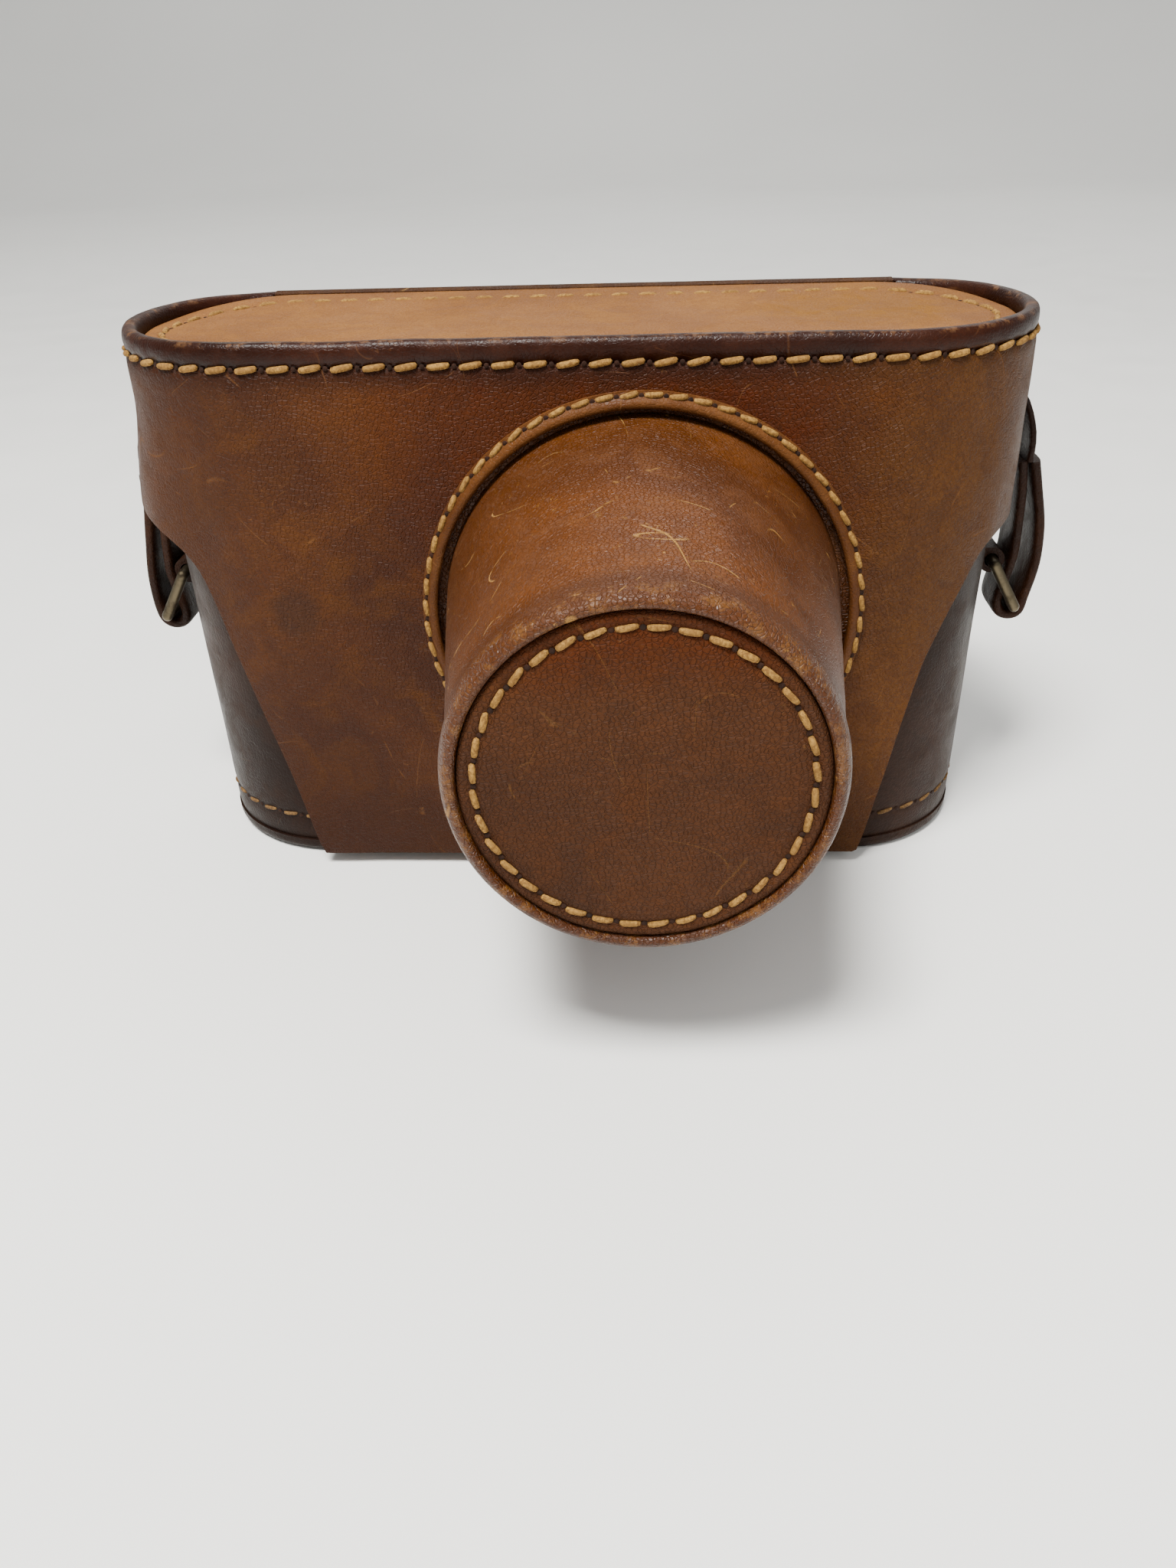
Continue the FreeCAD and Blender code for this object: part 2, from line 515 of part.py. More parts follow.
for i in range(8):
    a0 = 2 * math.pi * i / 8
    y = f - 10.0 - 0.14 * (i % 2)
    b = ring_y(8.5, 3.2, y, y - 0.12)
    seg = box(lx, lx + 10, y - 1, y + 1, lz - 10, lz + 10)
    seg = seg.common(cyl(9, (lx, y - 1, lz), (lx, y + 1, lz)))
    half = box(lx - 10, lx + 10, y - 1, y + 1, lz, lz + 10)
    wedge = half.copy()
    wedge.rotate(V(lx, 0, lz), V(0, 1, 0), math.degrees(a0))
    other = half.copy()
    other.rotate(V(lx, 0, lz), V(0, 1, 0), math.degrees(a0) + 180 - 44)
    blades.append(b.common(wedge).common(other))
save("iris_blades", group(blades))

# winding side: knob, shaft and take-up spool turn together
kx = -48.0
knob = knurled(10.0, (kx, CAM_YC, 77.0), (kx, CAM_YC, 84.5), 40, 0.45)
knob = knob.fuse(cyl(1.95, (kx, CAM_YC, 52), (kx, CAM_YC, 77.5)))
save("wind_knob", knob)
spool = tube(5.0, 2.0, (kx, CAM_YC, 16), (kx, CAM_YC, 54)).fuse(
    tube(10.5, 2.0, (kx, CAM_YC, 15), (kx, CAM_YC, 16))).fuse(
    tube(10.5, 2.0, (kx, CAM_YC, 54), (kx, CAM_YC, 55)))
save("take_up_spool", spool)
sp = cyl(5.4, (-27, CAM_YC + 6, 16), (-27, CAM_YC + 6, 54))
teeth = []
for zz in (20.0, 50.0):
    for i in range(8):
        a = 2 * math.pi * i / 8
        c = (-27 + 5.7 * math.cos(a), CAM_YC + 6 + 5.7 * math.sin(a), zz)
        teeth.append(cyl(0.5, (c[0], c[1], zz - 0.6), (c[0], c[1], zz + 0.6)))
sp = sp.fuse(teeth).fuse(cyl(1.74, (-27, CAM_YC + 6, 54), (-27, CAM_YC + 6, 73.0)))
save("film_sprocket", sp)
kx = 52.0
knob = knurled(9.0, (kx, CAM_YC, 77.0), (kx, CAM_YC, 83.5), 36, 0.45)
knob = knob.fuse(cyl(1.95, (kx, CAM_YC, 50), (kx, CAM_YC, 77.5)))
knob = knob.fuse(box(kx - 3.6, kx + 3.6, CAM_YC - 0.8, CAM_YC + 0.8, 46.5, 50.5))
save("rewind_knob", knob)
button = cyl(4.0, (-34, CAM_YC - 8, 79.2), (-34, CAM_YC - 8, 81.6))
button = button.makeFillet(0.6, [e for e in button.Edges if e.BoundBox.ZMin > 81.5])
button = button.fuse(cyl(2.3, (-34, CAM_YC - 8, 68), (-34, CAM_YC - 8, 79.3)))
save("release_button", button)
spring = tube(4.4, 3.2, (-34, CAM_YC - 8, 62.02), (-34, CAM_YC - 8, 71))
save("release_spring_cup", spring.cut(cyl(3.2, (-34, CAM_YC - 8, 60), (-34, CAM_YC - 8, 75))))
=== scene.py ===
import bmesh
import bpy
import math
from mathutils import Matrix, Vector, noise


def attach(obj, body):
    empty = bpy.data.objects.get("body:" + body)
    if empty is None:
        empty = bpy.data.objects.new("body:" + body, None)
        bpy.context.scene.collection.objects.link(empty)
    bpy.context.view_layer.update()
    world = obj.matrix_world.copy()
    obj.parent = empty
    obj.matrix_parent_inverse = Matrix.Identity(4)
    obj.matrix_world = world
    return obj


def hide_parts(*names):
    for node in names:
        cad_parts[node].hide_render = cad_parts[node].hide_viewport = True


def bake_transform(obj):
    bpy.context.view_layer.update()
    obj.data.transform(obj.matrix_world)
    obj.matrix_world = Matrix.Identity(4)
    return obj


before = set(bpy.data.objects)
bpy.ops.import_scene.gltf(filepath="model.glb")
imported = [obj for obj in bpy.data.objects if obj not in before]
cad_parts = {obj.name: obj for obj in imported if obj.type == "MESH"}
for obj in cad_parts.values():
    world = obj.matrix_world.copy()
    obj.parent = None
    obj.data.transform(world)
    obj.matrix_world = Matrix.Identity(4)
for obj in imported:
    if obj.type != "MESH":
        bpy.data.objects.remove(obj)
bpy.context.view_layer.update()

# ---- sizes, in millimetres ---------------------------------------------------------
MM = 0.001
COVER_W, COVER_D = 152.0, 55.5      # outside of the cover, in plan
COVER_HALF = (COVER_W - COVER_D) / 2    # from the middle to where each round end starts
LEATHER, HINGE_LEATHER, CASE_LEATHER = 1.8, 1.3, 1.7
TOP_Z, BAND_TOP_Z, REAR_BAND_Z = 94.3, 90.1, 85.2
FLAP_LOW_Z = 2.5
RIM_W, RIM_HEIGHT = 2.8, TOP_Z - BAND_TOP_Z + 0.1
RIM_MID_R, RIM_MID_Z = (COVER_D - RIM_W) / 2, TOP_Z - RIM_HEIGHT / 2
RIM_STITCH_Z, BASE_STITCH_Z, HINGE_STITCH_Z = 90.5, 8.0, 61.0
PANEL_PUCKER_Z, PUCKER_REACH = 90.4, 0.9
PLATE_Z, PLATE_T = 92.4, 1.1
PLATE_R = (COVER_D - 2 * RIM_W - 0.2) / 2
TOP_SEAM_W, TOP_SEAM_D, TOP_SEAM_Y = COVER_W - 2 * RIM_W - 8.2, COVER_D - 2 * RIM_W - 12.2, -2.0
PITCH = 4.9                         # from one stitch to the next on the long seams
COLLAR_STITCHES, DISC_STITCHES, HINGE_STITCHES = 60, 36, 20
COLLAR_SEAM_R, DISC_SEAM_R = 35.9, 21.9
CASE_TOP = (147.6, 51.0, 84.0)      # width, depth and height of the case wall's upper end
CASE_BASE = (144.0, 47.6, 0.0)
HINGE_HALF = 57.0
NOSE_X, NOSE_Z, NOSE_HOLE_R = 11.0, 50.0, 35.6
NOSE_ROOT_Y, NOSE_ROOT_R, NOSE_LENGTH, NOSE_TAPER = -25.95, 32.8, 51.2, 6.05
LENS_X, LENS_Z, LENS_OPENING_R = 11.0, 46.0, 24.5
STUD_Z = 7.8
RING_Y = 6.5
LOOP_W, LOOP_T, STRAP_W, STRAP_T = 9.6, 2.0, 9.8, 1.45
STRAP_Z = 5.6                       # middle of the strap where it stands on the table


# ---- colours and shared shader groups ------------------------------------------------
def tone(code):
    """Screen colour code to a linear colour."""
    out = []
    for i in (0, 2, 4):
        c = int(code[i:i + 2], 16) / 255.0
        out.append(c / 12.92 if c <= 0.04045 else ((c + 0.055) / 1.055) ** 2.4)
    return (out[0], out[1], out[2], 1.0)


DYE_BALANCE = (1.0, 0.90, 0.70)     # red, green and blue


def dye_tone(code, depth):
    """Leather dye colour, deepened because the finish above it scatters light."""
    c = tone(code)
    return tuple(v * depth * k for v, k in zip(c, DYE_BALANCE)) + (1.0,)


def new_group(name, inputs, outputs):
    """A node group with (label, kind, value) inputs and (label, kind) outputs."""
    g = bpy.data.node_groups.new(name, "ShaderNodeTree")
    for label, kind, value in inputs:
        s = g.interface.new_socket(name=label, in_out="INPUT", socket_type=kind)
        if value is not None:
            s.default_value = value
    for label, kind in outputs:
        g.interface.new_socket(name=label, in_out="OUTPUT", socket_type=kind)
    gin = g.nodes.new("NodeGroupInput")
    gout = g.nodes.new("NodeGroupOutput")
    return g, gin, gout


def add_noise(nt, vec, scale, detail=4.0, rough=0.55, distortion=0.0):
    n = nt.nodes.new("ShaderNodeTexNoise")
    n.inputs["Scale"].default_value = scale
    n.inputs["Detail"].default_value = detail
    n.inputs["Roughness"].default_value = rough
    n.inputs["Distortion"].default_value = distortion
    nt.links.new(vec, n.inputs["Vector"])
    return n.outputs["Fac"]


def remap(nt, value, a, b, c=0.0, d=1.0):
    m = nt.nodes.new("ShaderNodeMapRange")
    m.interpolation_type = "SMOOTHSTEP"
    for key, v in (("From Min", a), ("From Max", b), ("To Min", c), ("To Max", d)):
        m.inputs[key].default_value = v
    nt.links.new(value, m.inputs["Value"])
    return m.outputs["Result"]


def calc(nt, op, a, b):
    m = nt.nodes.new("ShaderNodeMath")
    m.operation = op
    for i, v in enumerate((a, b)):
        if isinstance(v, (int, float)):
            m.inputs[i].default_value = v
        else:
            nt.links.new(v, m.inputs[i])
    return m.outputs[0]


def blend_colour(nt, fac, a, b):
    m = nt.nodes.new("ShaderNodeMix")
    m.data_type = "RGBA"
    for socket, v in ((m.inputs[6], a), (m.inputs[7], b)):
        if isinstance(v, tuple):
            socket.default_value = v
        else:
            nt.links.new(v, socket)
    if isinstance(fac, (int, float)):
        m.inputs[0].default_value = fac
    else:
        nt.links.new(fac, m.inputs[0])
    return m.outputs[2]


def stretched(nt, vec, scale, turn=(0, 0, 0)):
    m = nt.nodes.new("ShaderNodeMapping")
    m.inputs["Scale"].default_value = scale
    m.inputs["Rotation"].default_value = turn
    nt.links.new(vec, m.inputs["Vector"])
    return m.outputs["Vector"]


def vector_step(nt, op, vec, value):
    n = nt.nodes.new("ShaderNodeVectorMath")
    n.operation = op
    nt.links.new(vec, n.inputs[0])
    n.inputs[1].default_value = value
    return n


def along_axis(nt, vec, axis):
    n = nt.nodes.new("ShaderNodeSeparateXYZ")
    nt.links.new(vec, n.inputs[0])
    return n.outputs[axis]


def build_grain():
    """Pores and creases of leather: a height, a crease mask and dark specks."""
    g, gin, gout = new_group(
        "Hide grain",
        [("Vector", "NodeSocketVector", None), ("Pores", "NodeSocketFloat", 0.4),
         ("Creases", "NodeSocketFloat", 0.5)],
        [("Height", "NodeSocketFloat"), ("Mask", "NodeSocketFloat"),
         ("Specks", "NodeSocketFloat")])
    vec = gin.outputs["Vector"]
    v = g.nodes.new("ShaderNodeTexVoronoi")
    v.feature = "DISTANCE_TO_EDGE"
    v.inputs["Scale"].default_value = 1500.0
    g.links.new(vec, v.inputs["Vector"])
    pores = remap(g, v.outputs["Distance"], 0.0, 0.16)
    fine = add_noise(g, vec, 2600.0, 2.0)
    crease = add_noise(g, vec, 170.0, 6.0, 0.62, 0.6)
    folds = remap(g, crease, 0.40, 0.52)
    h1 = calc(g, "MULTIPLY", pores, gin.outputs["Pores"])
    h2 = calc(g, "MULTIPLY", folds, gin.outputs["Creases"])
    h3 = calc(g, "MULTIPLY", fine, 0.35)
    height = calc(g, "ADD", calc(g, "ADD", h1, h2), h3)
    g.links.new(height, gout.inputs["Height"])
    g.links.new(folds, gout.inputs["Mask"])
    specks = remap(g, add_noise(g, vec, 1300.0, 5.0, 0.7), 0.42, 0.60)
    g.links.new(specks, gout.inputs["Specks"])
    return g


def build_mottle():
    """Uneven dye: broad clouds, small blotches and pale flecks."""
    g, gin, gout = new_group(
        "Uneven dye",
        [("Vector", "NodeSocketVector", None)],
        [("Clouds", "NodeSocketFloat"), ("Blotches", "NodeSocketFloat"),
         ("Flecks", "NodeSocketFloat")])
    vec = gin.outputs["Vector"]
    clouds = remap(g, add_noise(g, vec, 22.0, 3.0, 0.5, 0.4), 0.36, 0.64)
    blotches = remap(g, add_noise(g, vec, 95.0, 6.0, 0.65, 0.8), 0.42, 0.66)
    g.links.new(clouds, gout.inputs["Clouds"])
    g.links.new(blotches, gout.inputs["Blotches"])
    flecks = remap(g, add_noise(g, vec, 620.0, 4.0, 0.7), 0.63, 0.71)
    patch = remap(g, add_noise(g, vec, 60.0, 3.0), 0.50, 0.62)
    g.links.new(calc(g, "MULTIPLY", flecks, patch), gout.inputs["Flecks"])
    return g


SCUFF_LAYERS = (((26, 60, 40), (0.3, 0.5, 0.9), 0.0030),       # stretch, turn, half width
                ((55, 25, 30), (0.7, 0.2, -0.5), 0.0036),
                ((40, 30, 70), (0.2, 1.0, 0.3), 0.0026),
                ((70, 34, 28), (1.1, 0.6, 0.2), 0.0030))
SLOW_NOISE = (1.0, 0.8, 0.35, 0.15)
SIDE_STEP = (0.03, 0.03, 0.03)


def build_scratches():
    """Hairline scuffs: thin bands along the level lines of a slow, bent noise."""
    g, gin, gout = new_group(
        "Scuffs", [("Vector", "NodeSocketVector", None)], [("Mask", "NodeSocketFloat")])
    total = None
    for scale, turn, wide in SCUFF_LAYERS:
        vec = stretched(g, gin.outputs["Vector"], scale, turn)
        level = add_noise(g, vec, *SLOW_NOISE)
        beside = vector_step(g, "ADD", vec, SIDE_STEP).outputs["Vector"]
        rise = calc(g, "SUBTRACT", level, add_noise(g, beside, *SLOW_NOISE))
        slope = calc(g, "ABSOLUTE", rise, 0.0)
        line = calc(g, "ABSOLUTE", calc(g, "SUBTRACT", level, 0.5), 0.0)
        mask = remap(g, line, wide, 0.0006)
        broken = remap(g, add_noise(g, vec, 3.0, 3.0), 0.52, 0.60)
        mask = calc(g, "MULTIPLY", calc(g, "MULTIPLY", mask, broken),
                    remap(g, slope, 0.004, 0.009))
        total = mask if total is None else calc(g, "MAXIMUM", total, mask)
    keep = remap(g, add_noise(g, gin.outputs["Vector"], 60.0, 2.0), 0.38, 0.50)
    g.links.new(calc(g, "MULTIPLY", total, keep), gout.inputs["Mask"])
    return g


GRAIN, MOTTLE, SCUFF = build_grain(), build_mottle(), build_scratches()


def use_group(nt, group, vec, **values):
    n = nt.nodes.new("ShaderNodeGroup")
    n.node_tree = group
    nt.links.new(vec, n.inputs["Vector"])
    for key, v in values.items():
        n.inputs[key].default_value = v
    return n


def start_material(name):
    m = bpy.data.materials.new(name)
    m.use_nodes = True
    nt = m.node_tree
    shader = nt.nodes["Principled BSDF"]
    coord = nt.nodes.new("ShaderNodeTexCoord")
    return m, nt, shader, coord.outputs["Object"]


def bump(nt, shader, height, distance, strength=1.0):
    b = nt.nodes.new("ShaderNodeBump")
    b.inputs["Distance"].default_value = distance
    b.inputs["Strength"].default_value = strength
    nt.links.new(height, b.inputs["Height"])
    nt.links.new(b.outputs["Normal"], shader.inputs["Normal"])


BLOTCH_AMOUNT, CREASE_AMOUNT, SPECK_AMOUNT = 0.4, 0.3, 0.35
STAIN_TONE, STAIN_R, STAIN_CORE_R, STAIN_RAG = "2c1a12", 0.0075, 0.0045, 0.004


def leather(name, hues, rough=0.5, pores=0.35, creases=0.45, depth=0.00018, scuffs=0.5,
            rub_and_highlight=None, rub_and_highlight_hue=None, rub_and_highlight_amount=0.8, shade=(), glow=None, stain=None,
            dye_depth=0.36, gloss=0.1):
    """Dyed hide, from its base, dark, light and fleck hues.

    rub_and_highlight is (axis, from, to) for a stretch lightened as wear and as a painted
    highlight, shade a list of (axis, from, to, hue, amount) for stretches of dye tint and of
    painted shade, glow (hue, centre, radius) and stain a centre, in metres.
    """
    base, dark, light, fleck = hues
    m, nt, shader, vec = start_material(name)
    dye = use_group(nt, MOTTLE, vec)
    grain = use_group(nt, GRAIN, vec, Pores=pores, Creases=creases)
    scuff = use_group(nt, SCUFF, vec)

    def times(value, factor):
        return calc(nt, "MULTIPLY", value, factor)

    def over(amount, under, code):
        return blend_colour(nt, amount, under, dye_tone(code, dye_depth))

    c = over(dye.outputs["Clouds"], dye_tone(dark, dye_depth), base)
    c = over(times(dye.outputs["Blotches"], BLOTCH_AMOUNT), c, light)
    if glow:
        colour, centre, radius = glow
        far = vector_step(nt, "DISTANCE", vec, centre).outputs["Value"]
        near = remap(nt, far, radius * 1.35, radius * 0.5)
        c = over(times(near, remap(nt, dye.outputs["Blotches"], 0.0, 1.0, 0.55, 1.0)), c, colour)
    # stretches tinted along an axis, as dye tint and as painted shade
    for axis, lo, hi, colour, amount in shade:
        drift = times(calc(nt, "SUBTRACT", add_noise(nt, vec, 70.0, 4.0), 0.5), abs(hi - lo) * 0.8)
        place = calc(nt, "ADD", along_axis(nt, vec, axis), drift)
        c = over(remap(nt, place, lo, hi, 0.0, amount), c, colour)
    c = over(times(calc(nt, "SUBTRACT", 1.0, grain.outputs["Mask"]), CREASE_AMOUNT), c, dark)
    c = over(times(grain.outputs["Specks"], SPECK_AMOUNT), c, dark)
    marks = times(scuff.outputs["Mask"], scuffs)
    c = over(marks, c, fleck)
    c = over(times(dye.outputs["Flecks"], scuffs), c, fleck)
    if stain:
        spot = vector_step(nt, "DISTANCE", vec, stain).outputs["Value"]
        ragged = calc(nt, "ADD", spot, times(add_noise(nt, vec, 300.0, 4.0), STAIN_RAG))
        c = blend_colour(nt, remap(nt, ragged, STAIN_R, STAIN_CORE_R, 0.0, 0.6), c,
                         tone(STAIN_TONE))
    # a stretch lightened in noisy patches, as rubbed wear and as a painted highlight
    if rub_and_highlight:
        axis, start, end = rub_and_highlight
        zone = remap(nt, along_axis(nt, vec, axis), start, end)
        rub_and_highlight_mask = times(zone, remap(nt, add_noise(nt, vec, 330.0, 6.0, 0.75), 0.50, 0.60))
        c = over(times(rub_and_highlight_mask, rub_and_highlight_amount), c, rub_and_highlight_hue)
    nt.links.new(c, shader.inputs["Base Color"])
    r = calc(nt, "ADD", times(dye.outputs["Blotches"], 0.16), rough - 0.08)
    r = calc(nt, "ADD", r, times(marks, 0.2))
    nt.links.new(r, shader.inputs["Roughness"])
    shader.inputs["Specular IOR Level"].default_value = gloss
    h = calc(nt, "SUBTRACT", grain.outputs["Height"], calc(nt, "MULTIPLY", marks, 0.6))
    bump(nt, shader, h, depth)
    return m


def metal(name, base, dirt, rough, dirty, metallic=1.0):
    """Metal or enamel with grime in patches."""
    m, nt, shader, vec = start_material(name)
    grime = remap(nt, add_noise(nt, vec, 260.0, 5.0, 0.65), 0.45, 0.65)
    scuff = use_group(nt, SCUFF, vec)
    c = blend_colour(nt, calc(nt, "MULTIPLY", grime, dirty), tone(base), tone(dirt))
    nt.links.new(c, shader.inputs["Base Color"])
    r = calc(nt, "ADD", calc(nt, "MULTIPLY", grime, 0.02 + dirty * 0.3), rough)
    nt.links.new(r, shader.inputs["Roughness"])
    shader.inputs["Metallic"].default_value = metallic
    pits = calc(nt, "MULTIPLY", grime, dirty)
    bump(nt, shader, calc(nt, "ADD", pits, scuff.outputs["Mask"]), 0.00002)
    return m


def cloth(name, base, dark, scale, depth, sheen=0.0):
    """Fibre in two shades: thread, lining nap and other matt things."""
    m, nt, shader, vec = start_material(name)
    fibre = add_noise(nt, vec, scale, 4.0, 0.7, 0.5)
    blot = remap(nt, add_noise(nt, vec, 240.0, 3.0), 0.35, 0.65)
    c = blend_colour(nt, remap(nt, fibre, 0.35, 0.65), tone(dark), tone(base))
    c = blend_colour(nt, calc(nt, "MULTIPLY", blot, 0.4), c, tone(dark))
    nt.links.new(c, shader.inputs["Base Color"])
    shader.inputs["Roughness"].default_value = 0.85
    shader.inputs["Specular IOR Level"].default_value = 0.2
    shader.inputs["Sheen Weight"].default_value = sheen
    bump(nt, shader, fibre, depth)
    return m


def glass(name):
    m, nt, shader, vec = start_material(name)
    shader.inputs["Base Color"].default_value = (0.78, 0.82, 0.95, 1)
    shader.inputs["Transmission Weight"].default_value = 0.9
    shader.inputs["IOR"].default_value = 1.5
    smear = remap(nt, add_noise(nt, vec, 180.0, 3.0), 0.5, 0.8, 0.03, 0.12)
    nt.links.new(smear, shader.inputs["Roughness"])
    return m


COVER_HIDE = leather(
    "Saddle hide", ("784724", "543020", "8a5826", "b98352"),
    pores=0.4, creases=0.35, scuffs=0.3,
    # the first stretch, just under the rolled rim, is painted shade; the others make the hide
    # greyer to the left, darker towards the bottom and lighter to the right
    shade=[("Z", 0.086, 0.0898, "381a0c", 0.85), ("X", -0.035, -0.076, "5e3e2e", 0.5),
           ("Z", 0.03, 0.004, "462618", 0.7), ("X", 0.028, 0.062, "865a2c", 0.6)],
    glow=("6e3000", (0.011, -0.028, 0.084), 0.042), stain=(-0.0472, -0.028, 0.0513))
TOP_HIDE = leather(
    "Rubbed top hide", ("b07c4c", "94643c", "bc8a54", "cf9c68"),
    rough=0.6, pores=0.4, creases=0.5, scuffs=0.3, dye_depth=0.47, gloss=0.08,
    glow=("a8762c", (0.047, 0.003, 0.0925), 0.016))
RIM_HIDE = leather(
    "Burnished rim", ("47200e", "321509", "5e3016", "96643e"),
    rough=0.40, pores=0.2, creases=0.3, depth=0.0001, scuffs=0.25, gloss=0.14,
    # a paler line along the rim's top edge, as rubbed wear and as a painted highlight
    rub_and_highlight=("Z", 0.0934, 0.0941), rub_and_highlight_hue="9a7050", rub_and_highlight_amount=0.6)
COLLAR_HIDE = leather(
    "Collar hide", ("96602f", "6e4324", "a06c3c", "c89468"),
    pores=0.3, creases=0.4, depth=0.00012, scuffs=0.3)
NOSE_HIDE = leather(
    "Nose hide", ("8e5012", "6a390f", "9a5e1e", "dca860"),
    rough=0.46, pores=0.5, creases=0.3, depth=0.0002, scuffs=1.0, gloss=0.26,
    # paler patches on the end bead, as rubbed wear and as a painted highlight
    rub_and_highlight=("Y", -0.0790, -0.0825), rub_and_highlight_hue="b47e40", rub_and_highlight_amount=0.42,
    shade=[("Y", -0.0740, -0.0785, "5a300c", 0.6), ("Z", 0.05, 0.02, "4c2b1c", 0.7),
           ("X", 0.006, -0.012, "703c02", 0.5)])
DISC_HIDE = leather(
    "End disc hide", ("6c4226", "56341f", "7c4c2c", "a87a48"),
    rough=0.66, pores=0.6, creases=0.35, depth=0.00022, scuffs=0.3,
    shade=[("Z", 0.060, 0.071, "6c3200", 0.9)])
CASE_HIDE = leather(
    "Dark case hide", ("4c3630", "302220", "563e34", "7a5c48"),
    rough=0.45, pores=0.2, creases=0.35, depth=0.0001, scuffs=0.25, gloss=0.07)
STRAP_HIDE = leather(
    "Strap hide", ("4a2c1c", "301b12", "5c3a28", "8a6448"),
    pores=0.3, creases=0.5, depth=0.00015, scuffs=0.4, gloss=0.12)
EDGE_HIDE = leather(
    "Hinge hide", ("6a4428", "4c2e1a", "86603c", "c09a68"),
    rough=0.6, pores=0.35, creases=0.7, depth=0.0002, scuffs=0.7)
RAW_EDGE = leather(
    "Raw cut edge", ("a87848", "74491f", "b88850", "cc9c68"),
    rough=0.7, pores=0.3, creases=0.6, depth=0.0002, scuffs=0.6)
THREAD = cloth("Waxed thread", "9c763a", "664620", scale=2200.0, depth=0.00012)
DULL_THREAD = cloth("Grimy thread", "7a5c34", "4a3420", scale=2200.0, depth=0.00012)
# flat dark dot over each awl hole, as painted shade in the hole
HOLE_SHADE = cloth("Awl hole shade", "2e170b", "1a0d06", scale=800.0, depth=0.0001)
VELVET = cloth("Lining nap", "4a1411", "2a0a09", scale=1500.0, depth=0.0002, sheen=0.06)
OLD_BRASS = metal("Dull brass", "5c5342", "2e261e", rough=0.42, dirty=0.75)
SATIN = metal("Satin chrome", "b4b4ae", "96928a", rough=0.3, dirty=0.06)
ENAMEL = metal("Black enamel", "141414", "2a2420", rough=0.35, dirty=0.5, metallic=0.0)
STEEL = metal("Blued steel", "4a4c50", "2c2a2a", rough=0.32, dirty=0.4)
GRAINED = leather(
    "Camera covering", ("1a1918", "0e0e0d", "242220", "3c3834"),
    rough=0.55, pores=1.0, creases=0.2, depth=0.0003, scuffs=0.1)
CLEAR = glass("Coated glass")
FILM = cloth("Film base", "4a4038", "2c2622", scale=400.0, depth=0.00002)


# ---- making pieces ---------------------------------------------------------------
def stop_edit():
    bpy.ops.object.mode_set(mode="OBJECT")


def clear_selection():
    if bpy.context.object and bpy.context.object.mode != "OBJECT":
        stop_edit()
    bpy.ops.object.select_all(action="DESELECT")


def only(obj):
    clear_selection()
    obj.select_set(True)
    bpy.context.view_layer.objects.active = obj
    return obj


def edit(obj, kind="VERT", everything=False):
    """Starts editing a piece, with all of it selected or none."""
    only(obj)
    bpy.ops.object.mode_set(mode="EDIT")
    bpy.ops.mesh.select_mode(type=kind)
    bpy.ops.mesh.select_all(action="SELECT" if everything else "DESELECT")


def select_open_edges(obj):
    edit(obj, "EDGE")
    bpy.ops.mesh.select_non_manifold()


def begin(name):
    """Names the primitive just added and puts its place in its mesh."""
    obj = bpy.context.object
    obj.name = name
    obj.data.name = name
    bpy.ops.object.transform_apply(location=True, rotation=True, scale=True)
    return obj


def pick(obj, kind, test):
    """Selects vertices or faces by place, in edit mode."""
    bpy.ops.object.mode_set(mode="EDIT")
    bpy.ops.mesh.select_mode(type="VERT" if kind == "v" else "FACE")
    bpy.ops.mesh.select_all(action="DESELECT")
    bm = bmesh.from_edit_mesh(obj.data)
    for e in bm.verts if kind == "v" else bm.faces:
        e.select = test(e.co if kind == "v" else e.calc_center_median())
    if kind == "v":
        bm.select_flush(True)
    bm.select_flush_mode()
    bmesh.update_edit_mesh(obj.data)


def apply_all(obj):
    only(obj)
    for m in list(obj.modifiers):
        bpy.ops.object.modifier_apply(modifier=m.name)


def outward(obj):
    """Joins doubled points and turns the faces of a closed piece outward."""
    edit(obj, everything=True)
    bpy.ops.mesh.remove_doubles(threshold=0.000005)
    bpy.ops.mesh.normals_make_consistent(inside=False)
    stop_edit()


def smooth(obj, degrees=40):
    only(obj)
    bpy.ops.object.shade_smooth_by_angle(angle=math.radians(degrees))


def dress(obj, material, nodes=(), degrees=40):
    """Gives a piece its finish and hides the CAD nodes it stands for."""
    obj.data.materials.clear()
    obj.data.materials.append(material)
    smooth(obj, degrees)
    if nodes:
        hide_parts(*nodes)


def finish_piece(obj, material, body, nodes=(), degrees=40):
    dress(obj, material, nodes, degrees)
    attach(obj, body)


def bevel_edges(obj, width, segments=2, angle=35):
    m = obj.modifiers.new("Rounded edge", "BEVEL")
    m.width = width * MM
    m.segments = segments
    m.limit_method = "ANGLE"
    m.angle_limit = math.radians(angle)
    m.use_clamp_overlap = True
    apply_all(obj)


def split_halves(obj):
    """Pulls the two halves of a round piece apart along X, into a stadium shape."""
    for sign in (-1, 1):
        pick(obj, "v", lambda c: c.x * sign > 0.00001)
        bpy.ops.transform.translate(value=(sign * COVER_HALF * MM, 0, 0))
        stop_edit()


